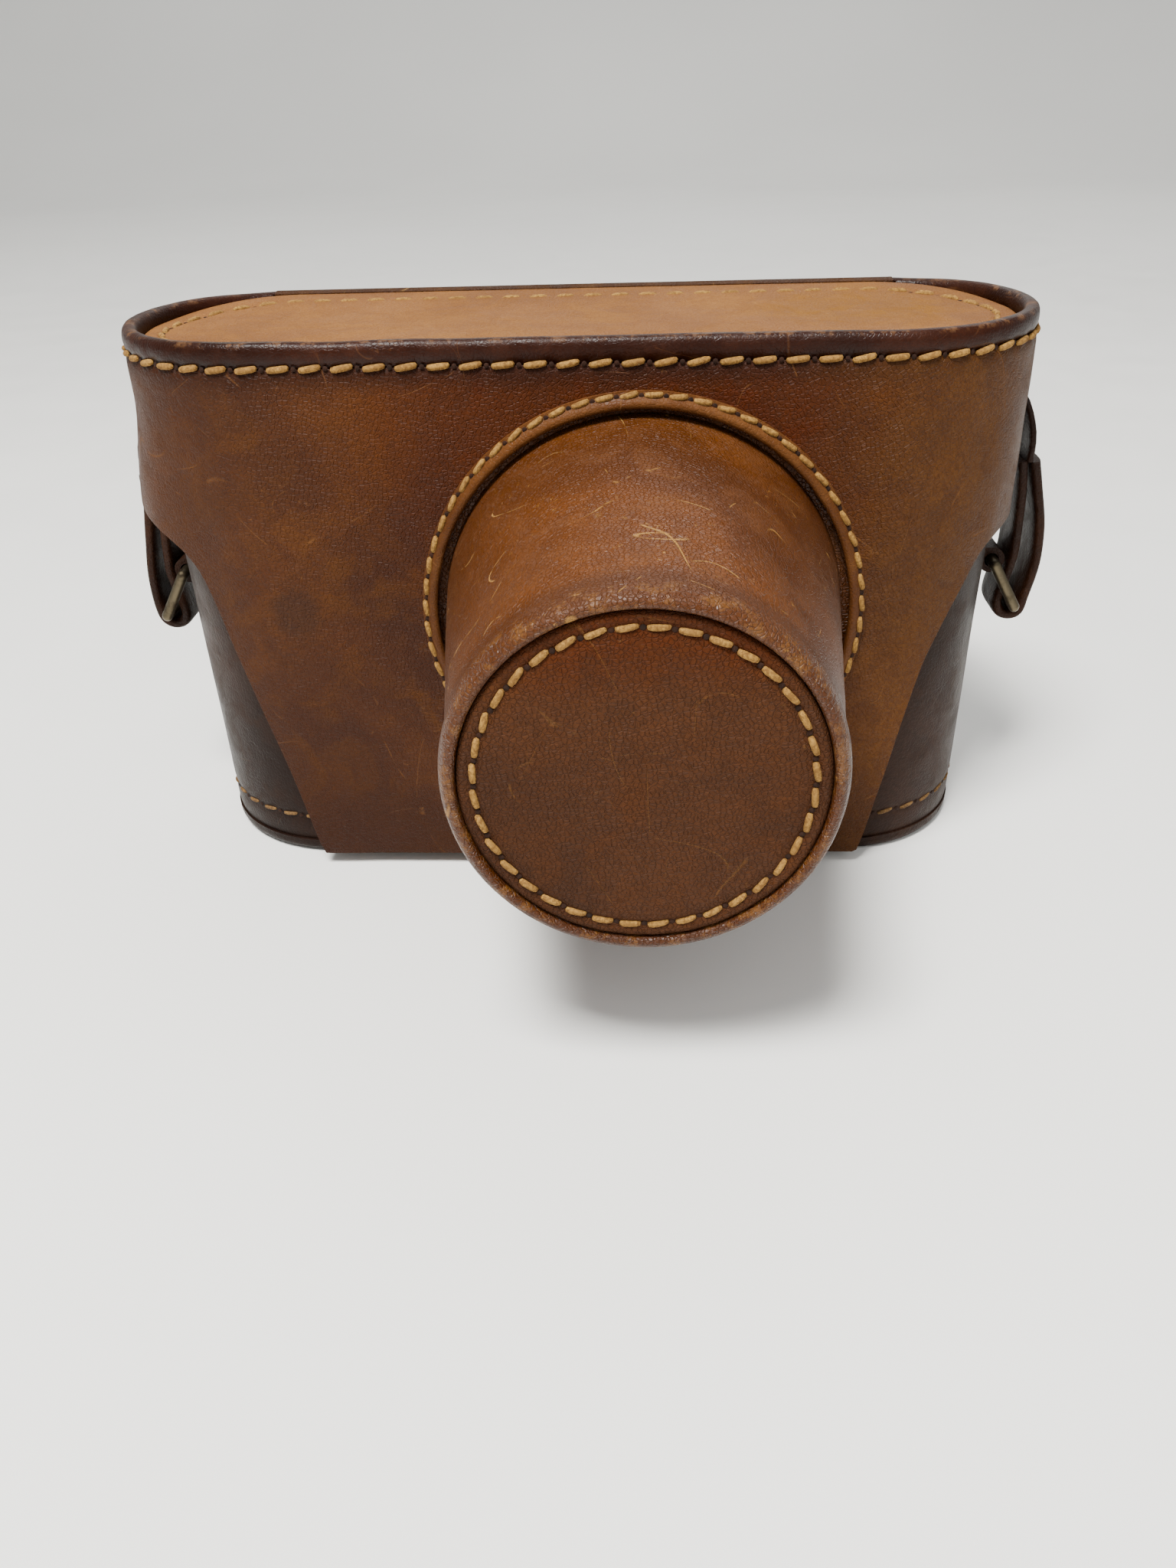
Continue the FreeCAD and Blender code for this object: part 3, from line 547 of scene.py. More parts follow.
def lathe(name, centre, profile, n, close=(False, False)):
    """Piece turned round a line along Y through centre (x, z), from (radius, y) places."""
    def spot(y):
        return centre[0] * MM, y * MM, centre[1] * MM

    clear_selection()
    r, y = profile[0]
    bpy.ops.mesh.primitive_circle_add(vertices=n, radius=r * MM, location=spot(y),
                                      rotation=(math.pi / 2, 0, 0),
                                      fill_type="NGON" if close[0] else "NOTHING")
    obj = begin(name)
    edit(obj, "EDGE", True)
    if close[0]:
        bpy.ops.mesh.region_to_loop()
    for r1, y1 in profile[1:]:
        bpy.ops.mesh.extrude_edges_move(
            TRANSFORM_OT_translate={"value": (0, (y1 - y) * MM, 0)})
        bpy.ops.transform.resize(value=(r1 / r, 1, r1 / r), center_override=spot(y1))
        r, y = r1, y1
    if close[1]:
        bpy.ops.mesh.edge_face_add()
    stop_edit()
    outward(obj)
    return obj


def sheet(name, columns, rows, place):
    """A grid laid out by place(u, v), u along the columns and v along the rows."""
    clear_selection()
    bpy.ops.mesh.primitive_grid_add(x_subdivisions=columns, y_subdivisions=rows, size=1.0)
    obj = begin(name)
    for v in obj.data.vertices:
        v.co = Vector(place(v.co.x + 0.5, v.co.y + 0.5)) * MM
    obj.data.update()
    return obj


def face_away(obj):
    """Turns an open sheet so that its faces look away from the upright middle line."""
    total = 0.0
    for f in obj.data.polygons:
        total += (f.normal.x * f.center.x + f.normal.y * f.center.y) * f.area
    if total < 0:
        edit(obj, "FACE", True)
        bpy.ops.mesh.flip_normals()
        stop_edit()


def thicken(obj, thickness, offset=-1.0):
    m = obj.modifiers.new("Thickness", "SOLIDIFY")
    m.thickness = thickness * MM
    m.offset = offset
    m.use_even_offset = True
    m.use_quality_normals = True
    apply_all(obj)


def cut_away(obj, cutter):
    """Takes the cutter's space out of a piece, then removes the cutter."""
    m = obj.modifiers.new("Cut", "BOOLEAN")
    m.operation = "DIFFERENCE"
    m.solver = "EXACT"
    m.object = cutter
    apply_all(obj)
    bpy.data.objects.remove(cutter, do_unlink=True)


def around(s, w, d):
    """Point and outward direction on a stadium outline, s from the back centre."""
    r = d / 2.0
    h = w / 2.0 - r
    s = s % (4 * h + 2 * math.pi * r)
    if s < h:
        return s, r, 0.0, 1.0
    s -= h
    if s < math.pi * r:
        a = s / r
        return h + r * math.sin(a), r * math.cos(a), math.sin(a), math.cos(a)
    s -= math.pi * r
    if s < 2 * h:
        return h - s, -r, 0.0, -1.0
    s -= 2 * h
    if s < math.pi * r:
        a = s / r
        return -h - r * math.sin(a), -r * math.cos(a), -math.sin(a), -math.cos(a)
    return -h + (s - math.pi * r), r, 0.0, 1.0


def outline_length(w, d):
    return 2 * (w - d) + math.pi * d


def curve_points(points, per):
    """Points on a smooth curve through the given ones."""
    out = []
    for i in range(len(points) - 1):
        p = [points[max(i - 1, 0)], points[i], points[i + 1], points[min(i + 2, len(points) - 1)]]
        for k in range(per):
            t = k / per
            out.append(tuple(
                0.5 * (2 * b + (e - a) * t + (2 * a - 5 * b + 4 * e - f) * t * t
                       + (3 * b - a - 3 * e + f) * t ** 3)
                for a, b, e, f in zip(*p)))
    out.append(tuple(points[-1]))
    return out


def ripple(x, y, z, size, seed=0.0):
    """Gentle unevenness, -1 to 1, with waves about size millimetres across."""
    return noise.noise(Vector((x / size + seed, y / size, z / size)))


# ---- thread ------------------------------------------------------------------------
def one_stitch(length, radius):
    """A single run of thread, dipping at both ends."""
    clear_selection()
    bpy.ops.mesh.primitive_uv_sphere_add(segments=8, ring_count=6, radius=0.5)
    obj = begin("stitch_pattern")
    for v in obj.data.vertices:
        t = v.co.z * 2
        full = max(0.0, 1 - abs(t) ** 4.0) ** 0.5
        flat = math.hypot(v.co.x, v.co.y) or 1.0
        k = radius * (0.35 + 0.65 * full) / flat if abs(t) < 0.98 else 0.0
        dip = -0.55 * radius * abs(t) ** 3
        v.co = Vector((v.co.x * k, v.co.y * k + dip, t * length / 2)) * MM
    return obj


def one_hole_shade(radius):
    """Flat dark dot of painted shade over the pit that an awl leaves between two runs of thread."""
    clear_selection()
    bpy.ops.mesh.primitive_uv_sphere_add(segments=8, ring_count=4, radius=radius * MM)
    obj = begin("hole_shade_pattern")
    for v in obj.data.vertices:
        v.co.y *= 0.25
    return obj


def copies(name, pattern, places):
    """One piece made of copies of a pattern at (point, along, outward) places."""
    made = []
    for i, (p, along, out) in enumerate(places):
        a = Vector(along).normalized()
        o = Vector(out)
        o = (o - a * o.dot(a)).normalized()
        side = o.cross(a)
        mat = Matrix((side, o, a)).transposed().to_4x4()
        mat.translation = Vector(p) * MM
        mesh = pattern.data.copy()
        mesh.transform(mat)
        piece = bpy.data.objects.new("%s_%03d" % (name, i), mesh)
        bpy.context.scene.collection.objects.link(piece)
        made.append(piece)
    clear_selection()
    for piece in made:
        piece.select_set(True)
    bpy.context.view_layer.objects.active = made[0]
    bpy.ops.object.join()
    obj = bpy.context.object
    obj.name = name
    obj.data.name = name
    return obj


STITCH = one_stitch(3.7, 0.52)
RING_STITCH = one_stitch(3.0, 0.50)
DISC_STITCH = one_stitch(3.1, 0.50)
FINE_STITCH = one_stitch(3.2, 0.36)
AWL_HOLE_SHADE = one_hole_shade(0.42)
LONGEST_STEP = 7


def seam(name, places, body, nodes, pattern, lift=0.18, thread_finish=None):
    """Thread runs at the places, with a dot of painted shade for the awl hole after each run."""
    runs, holes = [], []
    n = len(places)
    for i, (p, along, out) in enumerate(places):
        wob = math.radians(8 + 10 * ripple(i * 3.1, 2.0, 5.0, 1.7))
        across = Vector(out).cross(Vector(along)).normalized()
        runs.append((Vector(p) + Vector(out) * lift,
                     Vector(along).normalized() + across * wob, out))
        q = places[(i + 1) % n][0]
        mid = (Vector(p) + Vector(q)) / 2
        if (Vector(q) - Vector(p)).length < LONGEST_STEP:
            holes.append((mid + Vector(out) * 0.08, along, out))
    thread = copies(name, pattern, runs)
    finish_piece(thread, thread_finish or THREAD, body, nodes, 60)
    shade_dots = copies(name + "_holes", AWL_HOLE_SHADE, holes)
    finish_piece(shade_dots, HOLE_SHADE, body, (), 60)


# ---- front cover ---------------------------------------------------------------------
LEFT_EDGE = [(-75.9, 66.0), (-73.5, 65.2), (-70, 63.4), (-66.3, 60.8), (-63.6, 57.0), (-61.6, 50.7),
             (-56.9, 34.9), (-52.8, 19.8), (-49.4, 4.5), (-48.6, 2.5)]
RIGHT_EDGE = [(50.0, 2.5), (50.8, 4.5), (53.5, 16.7), (57.9, 36.6), (60.5, 44.3), (64.6, 53.4),
              (67.0, 57.6), (70, 59.6), (73.5, 60.6), (75.9, 61.0)]
LEFT_CURVE = curve_points(LEFT_EDGE, 6)
RIGHT_CURVE = curve_points(RIGHT_EDGE, 6)


def flap_bottom(x):
    """Height of the cover's lower edge at x."""
    if LEFT_CURVE[-1][0] <= x <= RIGHT_CURVE[0][0]:
        return FLAP_LOW_Z
    pts = LEFT_CURVE if x < 0 else RIGHT_CURVE
    for (x0, z0), (x1, z1) in zip(pts, pts[1:]):
        if min(x0, x1) <= x <= max(x0, x1):
            t = (x - x0) / ((x1 - x0) or 1)
            return z0 + (z1 - z0) * t
    return pts[0][1] if x < 0 else pts[-1][1]


OUTLINE = outline_length(COVER_W, COVER_D)
RIM_STEP = OUTLINE / round(OUTLINE / PITCH)
PANEL_START = HINGE_HALF + 0.9
PANEL_LENGTH = OUTLINE - 2 * PANEL_START


def ease(t):
    """0 to 1 with soft ends."""
    t = min(1.0, max(0.0, t))
    return t * t * (3 - 2 * t)


def fade(distance, reach):
    """1 at a line, falling softly to nothing beyond its reach."""
    return math.exp(-(distance / reach) ** 2)


def stitch_wave(s):
    """-1 at each stitch of the rim seam, 1 at the awl hole half way to the next."""
    return math.cos(2 * math.pi * s / RIM_STEP)


def cover_point(u, v):
    """The cover's outer face: u along it from the hinge, v from the cut edge up."""
    s = PANEL_START + u * PANEL_LENGTH
    x, y, nx, ny = around(s, COVER_W, COVER_D)
    low = flap_bottom(x)
    if y > -7.0:
        low = low + (REAR_BAND_Z - low) * ease((y + 7.0) / 7.0)
    z = low + (BAND_TOP_Z + 0.3 - low) * v
    keep = min(1.0, max(0.0, (BAND_TOP_Z - z) / 12.0))
    bulge = 0.30 * keep * ripple(x, y, z, 26.0, 3.0) + 0.12 * keep * ripple(x, y, z, 9.0, 8.0)
    pucker = -(0.42 + 0.16 * stitch_wave(s)) * fade(z - PANEL_PUCKER_Z, PUCKER_REACH)
    stand_off = 2.3 * ease((84.0 - z) / 20.0) * ease((-60.0 - x) / 13.0)
    k = bulge + pucker + stand_off
    return x + nx * k, y + ny * k, z


def from_nose(c):
    """Distance of a place from the nose's own line, in millimetres."""
    return math.hypot(c.x / MM - NOSE_X, c.z / MM - NOSE_Z)


wrap = sheet("front_cover_panel", 300, 70, cover_point)
pick(wrap, "f", lambda c: c.y < -0.02 and from_nose(c) < NOSE_HOLE_R)
bpy.ops.mesh.delete(type="FACE")
stop_edit()
face_away(wrap)
thicken(wrap, LEATHER)
bevel_edges(wrap, 0.45, 2, 50)
finish_piece(wrap, COVER_HIDE, "front_cover", ("cover_wrap",), 45)
wrap.data.materials.append(RAW_EDGE)


def on_middle(x):
    """The nearest place to x on the line between the centres of the two round ends."""
    return max(-COVER_HALF, min(COVER_HALF, x))


for f in wrap.data.polygons:
    c = f.center / MM
    away = Vector((c.x - on_middle(c.x), c.y, 0)).normalized()
    on_edge = abs(f.normal.dot(away)) < 0.97 and c.z < 80 and from_nose(f.center) > 38
    f.material_index = 1 if on_edge else 0


def outline_place(x, y):
    """Distance round the cover outline of the place nearest to (x, y), from the back centre."""
    r, h = COVER_D / 2, COVER_HALF
    if abs(x) <= h:
        return (x if x > 0 else OUTLINE + x) if y > 0 else h + math.pi * r + (h - x)
    a = math.atan2(abs(x) - h, y) * r
    return h + a if x > 0 else OUTLINE - h - a


clear_selection()
bpy.ops.mesh.primitive_torus_add(major_segments=200, minor_segments=36,
                                 major_radius=RIM_MID_R * MM, minor_radius=1.0 * MM,
                                 location=(0, 0, RIM_MID_Z * MM))
rim = begin("rolled_rim")
split_halves(rim)
edit(rim, "EDGE")
bm = bmesh.from_edit_mesh(rim.data)
for e in bm.edges:
    a, b = e.verts
    e.select = abs(a.co.x - b.co.x) > 0.03
bmesh.update_edit_mesh(rim.data)
bpy.ops.mesh.subdivide(number_cuts=59)
stop_edit()
RIM_SQUARENESS = 2.6        # 2 is a round section, more is squarer
for v in rim.data.vertices:
    x, y = v.co.x / MM, v.co.y / MM
    cx = on_middle(x)
    r = math.hypot(x - cx, y)
    nx, ny = (x - cx) / r, y / r
    a, b = r - RIM_MID_R, v.co.z / MM - RIM_MID_Z
    size = (abs(a) ** RIM_SQUARENESS + abs(b) ** RIM_SQUARENESS) ** (1 / RIM_SQUARENESS)
    a, b = a / max(1e-6, size), b / max(1e-6, size)
    z = RIM_MID_Z + b * RIM_HEIGHT / 2
    out = a * RIM_W / 2
    if a > 0.0:
        pull = 0.34 + 0.16 * stitch_wave(outline_place(x, y))
        out -= pull * fade(z - RIM_STITCH_Z, PUCKER_REACH)
    if z > 93 and y < -5:
        z += 0.25 * ripple(x, y, 0, 14.0, 3.0)
    out += 0.10 * ripple(x, y, z, 5.0, 2.0) * (1 if a > 0 else 0)
    if y > 10 and z > RIM_MID_Z:
        z -= 0.5 * ease((72.0 - abs(x)) / 14.0)
    r1 = RIM_MID_R + min(out, RIM_W / 2)
    v.co = Vector((cx + nx * r1, ny * r1, min(z, TOP_Z))) * MM
pick(rim, "f", lambda c: c.y > 0.010 and abs(c.x) < (HINGE_HALF + 0.2) * MM)
bpy.ops.mesh.delete(type="FACE")
select_open_edges(rim)
bpy.ops.mesh.edge_face_add()
stop_edit()
outward(rim)
finish_piece(rim, RIM_HIDE, "front_cover", ("cover_rim",), 50)

clear_selection()
bpy.ops.mesh.primitive_circle_add(vertices=160, radius=PLATE_R * MM, fill_type="NGON",
                                  location=(0, 0, (PLATE_Z - 1) * MM))
top = begin("top_panel")
split_halves(top)
edit(top, "FACE", True)
TOP_INSETS = (0.35, 0.45, 0.8, 0.9, 0.6, 0.4, 0.5, 0.5, 0.4, 0.6, 1.2, 2.4, 3.0, 3.0, 3.0)
for step in TOP_INSETS:
    bpy.ops.mesh.inset(thickness=step * MM, depth=0)
stop_edit()


def plate_rise(y):
    """The stiff top curves up towards the hinge."""
    return 1.15 * ease((y - 4.0) / 20.0)


for v in top.data.vertices:
    x, y = v.co.x / MM, v.co.y / MM
    inside = PLATE_R - math.hypot(max(abs(x) - COVER_HALF, 0), y)
    seam_half = (TOP_SEAM_W - TOP_SEAM_D) / 2
    from_seam = math.hypot(max(abs(x) - seam_half, 0), y - TOP_SEAM_Y) - TOP_SEAM_D / 2
    z = PLATE_Z - math.exp(-inside / 0.6) - 0.32 * fade(from_seam, 0.8)
    z += plate_rise(y)
    z += 0.12 * ripple(x, y, 0, 16.0, 4.0) * min(1, inside / 3)
    v.co.z = z * MM
thicken(top, PLATE_T)
outward(top)
finish_piece(top, TOP_HIDE, "front_cover", ("cover_top_plate",), 50)

NOSE_LINE = (NOSE_X, NOSE_Z)
collar = lathe("nose_ring_collar", NOSE_LINE, [
    (34.3, -27.2), (33.95, -27.8), (33.9, -28.5), (34.05, -28.85), (34.4, -29.05),
    (34.9, -29.0), (35.35, -28.7), (35.75, -28.2), (36.1, -28.0), (36.5, -27.95),
    (36.8, -27.2), (34.3, -27.2)], 156)
for v in collar.data.vertices:
    if v.co.y < -0.0284:
        v.co.y += 0.12 * ripple(v.co.x / MM, 0, v.co.z / MM, 9.0, 2.0) * MM
finish_piece(collar, COLLAR_HIDE, "front_cover", ("nose_collar",), 60)

NOSE_RINGS = 28
nose_profile = [(NOSE_ROOT_R, NOSE_ROOT_Y)]
for i in range(1, NOSE_RINGS + 1):
    t = i / NOSE_RINGS
    nose_profile.append((NOSE_ROOT_R - NOSE_TAPER * t ** 0.95, NOSE_ROOT_Y - t * NOSE_LENGTH))
nose_profile += [(26.75, -78.4), (26.8, -79.6), (26.75, -80.8), (26.55, -81.8), (26.2, -82.7),
                 (25.7, -83.4), (25.1, -83.75), (24.6, -83.7), (24.3, -83.3), (24.2, -82.6),
                 (24.2, -79.5), (25.2, -76.0), (30.6, -26.2)]
nose = lathe("nose_barrel", NOSE_LINE, nose_profile, 160)
select_open_edges(nose)
bpy.ops.mesh.bridge_edge_loops()
stop_edit()
for v in nose.data.vertices:
    x, y, z = v.co / MM
    free = min(1.0, max(0.0, (-27.5 - y) / 6)) * min(1.0, max(0.0, (y + 83.9) / 4))
    dent = 0.012 * ripple(x, y, z, 22.0, 1.0) + 0.003 * ripple(x, y, z, 6.0, 5.0) - 0.004
    k = 1 + free * dent
    v.co.x = (NOSE_X + (x - NOSE_X) * k) * MM
    v.co.z = (NOSE_Z + (z - NOSE_Z) * k) * MM
outward(nose)
finish_piece(nose, NOSE_HIDE, "front_cover", ("nose_tube",), 60)

# the sewn flange inside the cover, cut straight above the press stud
SEWN_CUT_Z = 0.0145
sewn = lathe("nose_sewn_edge", NOSE_LINE, [
    (31.0, -25.95), (37.0, -25.95), (37.2, -25.6), (37.0, -25.3), (31.0, -25.3),
    (31.0, -25.95)], 96)
pick(sewn, "v", lambda c: c.z < SEWN_CUT_Z)
bpy.ops.transform.resize(value=(1, 1, 0), center_override=(0, 0, SEWN_CUT_Z))
stop_edit()
finish_piece(sewn, NOSE_HIDE, "front_cover")

disc_profile = [(24.1, -80.2), (24.1, -82.2), (23.95, -82.8), (23.5, -83.2), (22.9, -83.25),
                (22.4, -83.05), (21.9, -82.85), (21.4, -83.0), (20.8, -83.3), (19.5, -83.42),
                (16.0, -83.45), (12.0, -83.4), (8.0, -83.35), (4.0, -83.32), (1.2, -83.3)]
disc = lathe("nose_end_panel", NOSE_LINE, disc_profile, 120, (False, True))
select_open_edges(disc)
bpy.ops.mesh.edge_face_add()
stop_edit()
for v in disc.data.vertices:
    if v.co.y < -0.0828:
        x, z = v.co.x / MM - NOSE_X, v.co.z / MM - NOSE_Z
        wave = math.cos(DISC_STITCHES * math.atan2(z, x))
        pucker = 0.12 * wave * fade(math.hypot(x, z) - DISC_SEAM_R, 1.6)
        v.co.y += (0.18 * ripple(x, 0, z, 9.0, 7.0) + pucker) * MM
outward(disc)
finish_piece(disc, DISC_HIDE, "front_cover", ("nose_end_disc",), 60)


def stadium_places(w, d, z, keep=lambda x, y: True):
    """Stitch places on the side of a stadium outline, at height z."""
    out = []
    length = outline_length(w, d)
    n = int(round(length / PITCH))
    for i in range(n):
        x, y, nx, ny = around((i + 0.5) * length / n, w, d)
        if keep(x, y):
            out.append(((x, y, z), (-ny, nx, 0), (nx, ny, 0)))
    return out


def ring_places(r, y, n):
    """Stitch places on a circle round the nose's line."""
    out = []
    for i in range(n):
        a = 2 * math.pi * (i + 0.5) / n
        out.append(((NOSE_X + r * math.cos(a), y, NOSE_Z + r * math.sin(a)),
                    (-math.sin(a), 0, math.cos(a)), (0, -1, 0)))
    return out


def off_hinge(x, y):
    return y < 3 or abs(x) > HINGE_HALF + 4


RIM_SINK, TOP_SINK = -0.30, -0.38
rim_places = []
for (x, y, z), along, out in stadium_places(COVER_W, COVER_D, RIM_STITCH_Z, off_hinge):
    rim_places.append(((x + out[0] * RIM_SINK, y + out[1] * RIM_SINK, z), along, out))
seam("rim_thread", rim_places, "front_cover", ("rim_stitching",), STITCH)
top_places = []
for (x, y, z), along, out in stadium_places(TOP_SEAM_W, TOP_SEAM_D, PLATE_Z + TOP_SINK):
    y += TOP_SEAM_Y
    top_places.append(((x, y, z + plate_rise(y)), along, (0, 0, 1)))
seam("top_thread", top_places, "front_cover", ("top_stitching",), STITCH)
seam("collar_thread", ring_places(COLLAR_SEAM_R, -28.2, COLLAR_STITCHES), "front_cover",
     ("collar_stitching",), RING_STITCH, 0.1)
seam("disc_thread", ring_places(DISC_SEAM_R, -82.9, DISC_STITCHES), "front_cover",
     ("disc_stitching",), DISC_STITCH, 0.16)

cap = lathe("stud_cap", (NOSE_X, STUD_Z), [
    (4.8, -27.77), (4.8, -28.1), (4.5, -28.6), (3.7, -28.95), (2.4, -29.1), (0.8, -29.15)],
    48, (True, True))
finish_piece(cap, OLD_BRASS, "front_cover", ("snap_cap",))


# ---- lower case --------------------------------------------------------------------
def case_at(z):
    """Width and depth of the case, which is a little wider at the top."""
    t = (z - CASE_BASE[2]) / (CASE_TOP[2] - CASE_BASE[2])
    return (CASE_BASE[0] + (CASE_TOP[0] - CASE_BASE[0]) * t,
            CASE_BASE[1] + (CASE_TOP[1] - CASE_BASE[1]) * t)


CASE_ROWS = ([0.5, 0.75, 1.2, 2.0, 3.2, 4.6, 6.2, 7.2, 8.0, 8.8, 10, 13]
             + list(range(17, 82, 4)) + [83, 83.9])


def case_point(u, v):
    """The case's outer face, turned in under the base and drawn in at its seam."""
    k = min(len(CASE_ROWS) - 1, int(round(v * (len(CASE_ROWS) - 1))))
    z = CASE_ROWS[k]
    w, d = case_at(z)
    x, y, nx, ny = around(u * outline_length(w, d), w, d)
    under = -1.7 * math.exp(-(z - 0.5) / 1.1)
    groove = -0.3 * fade(z - BASE_STITCH_Z, 0.7)
    belly = -0.25 + 0.22 * ripple(x, y, z, 24.0, 6.0)
    k = under + groove + belly
    return x + nx * k, y + ny * k, z


shell = sheet("case_wall", 240, len(CASE_ROWS) - 1, case_point)
edit(shell, everything=True)
bpy.ops.mesh.remove_doubles(threshold=0.00001)
stop_edit()
face_away(shell)
thicken(shell, CASE_LEATHER)
# the opening for the camera's front, and a round one below it for the lens
CUT_Y, CUT_DEPTH = -0.0245, 0.031
clear_selection()
bpy.ops.mesh.primitive_cube_add(size=1, location=(0, CUT_Y, 0.074),
                                scale=(2 * HINGE_HALF * MM, CUT_DEPTH, 0.04))
cut_away(shell, begin("cutter"))
clear_selection()
bpy.ops.mesh.primitive_cylinder_add(vertices=64, radius=LENS_OPENING_R * MM, depth=CUT_DEPTH,
                                    location=(LENS_X * MM, CUT_Y, LENS_Z * MM),
                                    rotation=(math.pi / 2, 0, 0))
cutter = begin("cutter")
pick(cutter, "v", lambda c: c.z > (LENS_Z + 0.5) * MM)
bpy.ops.transform.translate(value=(0, 0, 0.02))
stop_edit()
cut_away(shell, cutter)
outward(shell)
finish_piece(shell, CASE_HIDE, "lower_case", ("lower_case_wrap",), 45)



def off_stud(x, y):
    return y > 0 or abs(x - NOSE_X) > 6


base_w, base_d = case_at(BASE_STITCH_Z)
seam("base_thread", stadium_places(base_w - 0.5, base_d - 0.5, BASE_STITCH_Z, off_stud),
     "lower_case", ("lower_case_stitching",), FINE_STITCH, -0.1, DULL_THREAD)

flap_path = curve_points([(22.6, 93.7), (24.6, 94.0), (26.4, 93.2), (27.3, 91.0), (27.4, 86.0),
                          (27.35, 76.0), (27.2, 66.0), (27.1, 58.0)], 8)


def flap_point(u, v):
    """The hinge leather: u across the back, v from the rim down, with a ragged lower edge."""
    x = (u - 0.5) * 2 * HINGE_HALF
    k = v * (len(flap_path) - 1)
    i = min(int(k), len(flap_path) - 2)
    (y0, z0), (y1, z1) = flap_path[i], flap_path[i + 1]
    y, z = y0 + (y1 - y0) * (k - i), z0 + (z1 - z0) * (k - i)
    rag = 0.35 * ripple(x, 0, 0, 3.0, 9.0) if v > 0.97 else 0.0
    y += 0.10 * ripple(x, y, z, 12.0, 2.0) - 0.25 * fade(z - HINGE_STITCH_Z, 0.8)
    return x, y, z + rag


hinge = sheet("hinge_leather", 90, 56, flap_point)
face_away(hinge)
thicken(hinge, HINGE_LEATHER)
bevel_edges(hinge, 0.35, 2, 50)
dress(hinge, EDGE_HIDE, ("hinge_flap",), 45)
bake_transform(hinge)
places = []
for i in range(HINGE_STITCHES):
    x = -53.0 + i * 106.0 / (HINGE_STITCHES - 1)
    places.append(((x, 27.0, HINGE_STITCH_Z), (1, 0, 0), (0, 1, 0)))
seam("hinge_thread", places, "lower_case", ("hinge_flap_stitching",), STITCH)


# ---- straps and rings ----------------------------------------------------------------
SECTION_POINTS = 16


def neighbours(points, i):
    return points[max(i - 1, 0)], points[min(i + 1, len(points) - 1)]


def strap(name, path, width, thick):
    """Flat strap with rounded edges along (point, face direction) stations."""
    n = len(path)
    profile = []
    for i in range(SECTION_POINTS):
        a = 2 * math.pi * (i + 0.5) / SECTION_POINTS
        c, s = math.cos(a), math.sin(a)
        profile.append((math.copysign(width / 2 * abs(c) ** 0.35, c),
                        math.copysign(thick / 2 * abs(s) ** 0.6, s)))

    def place(u, v):
        i = min(n - 1, int(round(u * (n - 1))))
        q = profile[int(round(v * SECTION_POINTS)) % SECTION_POINTS]
        p = Vector(path[i][0])
        before, after = neighbours(path, i)
        d = (Vector(after[0]) - Vector(before[0])).normalized()
        nr = Vector(path[i][1])
        nr = (nr - d * nr.dot(d)).normalized()
        return p + d.cross(nr) * q[0] + nr * q[1]

    obj = sheet(name, n - 1, SECTION_POINTS, place)
    outward(obj)
    select_open_edges(obj)
    bpy.ops.mesh.fill()
    stop_edit()
    outward(obj)
    return obj


# (x, z) places round each sewn strap end, from the strap down round the ring and back up
LOOPS = {
    "right": [(79.0, 66.0), (79.7, 60.0), (80.0, 50.0), (79.6, 46.4), (78.2, 40.0), (78.8, 37.4),
              (80.6, 36.6), (82.4, 37.4), (83.1, 40.4), (84.2, 47.0), (83.9, 54.0), (82.4, 61.0),
              (81.2, 66.0)],
    "left": [(78.4, 66.0), (78.5, 60.0), (79.3, 50.0), (79.3, 46.4), (78.0, 40.0), (78.4, 37.4),
             (80.2, 36.6), (82.2, 37.6), (83.0, 40.8), (83.0, 47.0), (82.0, 54.0), (80.9, 61.0),
             (80.6, 66.0)]}
for side, sign in (("left", -1), ("right", 1)):
    fine = curve_points(LOOPS[side], 5)
    path = []
    for i, (px, pz) in enumerate(fine):
        q0, q1 = neighbours(fine, i)
        path.append(((sign * px, RING_Y, pz), (sign * (q1[1] - q0[1]), 0, -(q1[0] - q0[0]))))
    end = strap("strap_loop_" + side, path, LOOP_W, LOOP_T)
    dress(end, STRAP_HIDE, ("strap_end_" + side,), 50)
    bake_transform(end)

# each side of the strap, from its loop over the shoulder of the case and down behind it
RIGHT_RUN = [(80.1, 6.5, 66.2), (80.0, 6.6, 70.0), (78.4, 9.0, 73.0), (75.0, 17.0, 75.0),
             (73.0, 27.0, 70.4), (73.5, 37.0, 58.0), (75.0, 47.0, 42.0), (76.4, 56.0, 26.0),
             (75.5, 66.0, 12.5), (70.0, 72.5, 6.4), (60.0, 75.0, STRAP_Z)]
LEFT_RUN = [(-x, y, z) for x, y, z in RIGHT_RUN[:5]] + [
    (-73.6, 34.0, 59.0), (-76.0, 41.0, 42.0), (-78.0, 45.0, 25.0), (-76.5, 45.5, 11.5),
    (-70.0, 42.0, 6.2), (-60.0, 40.5, STRAP_Z)]
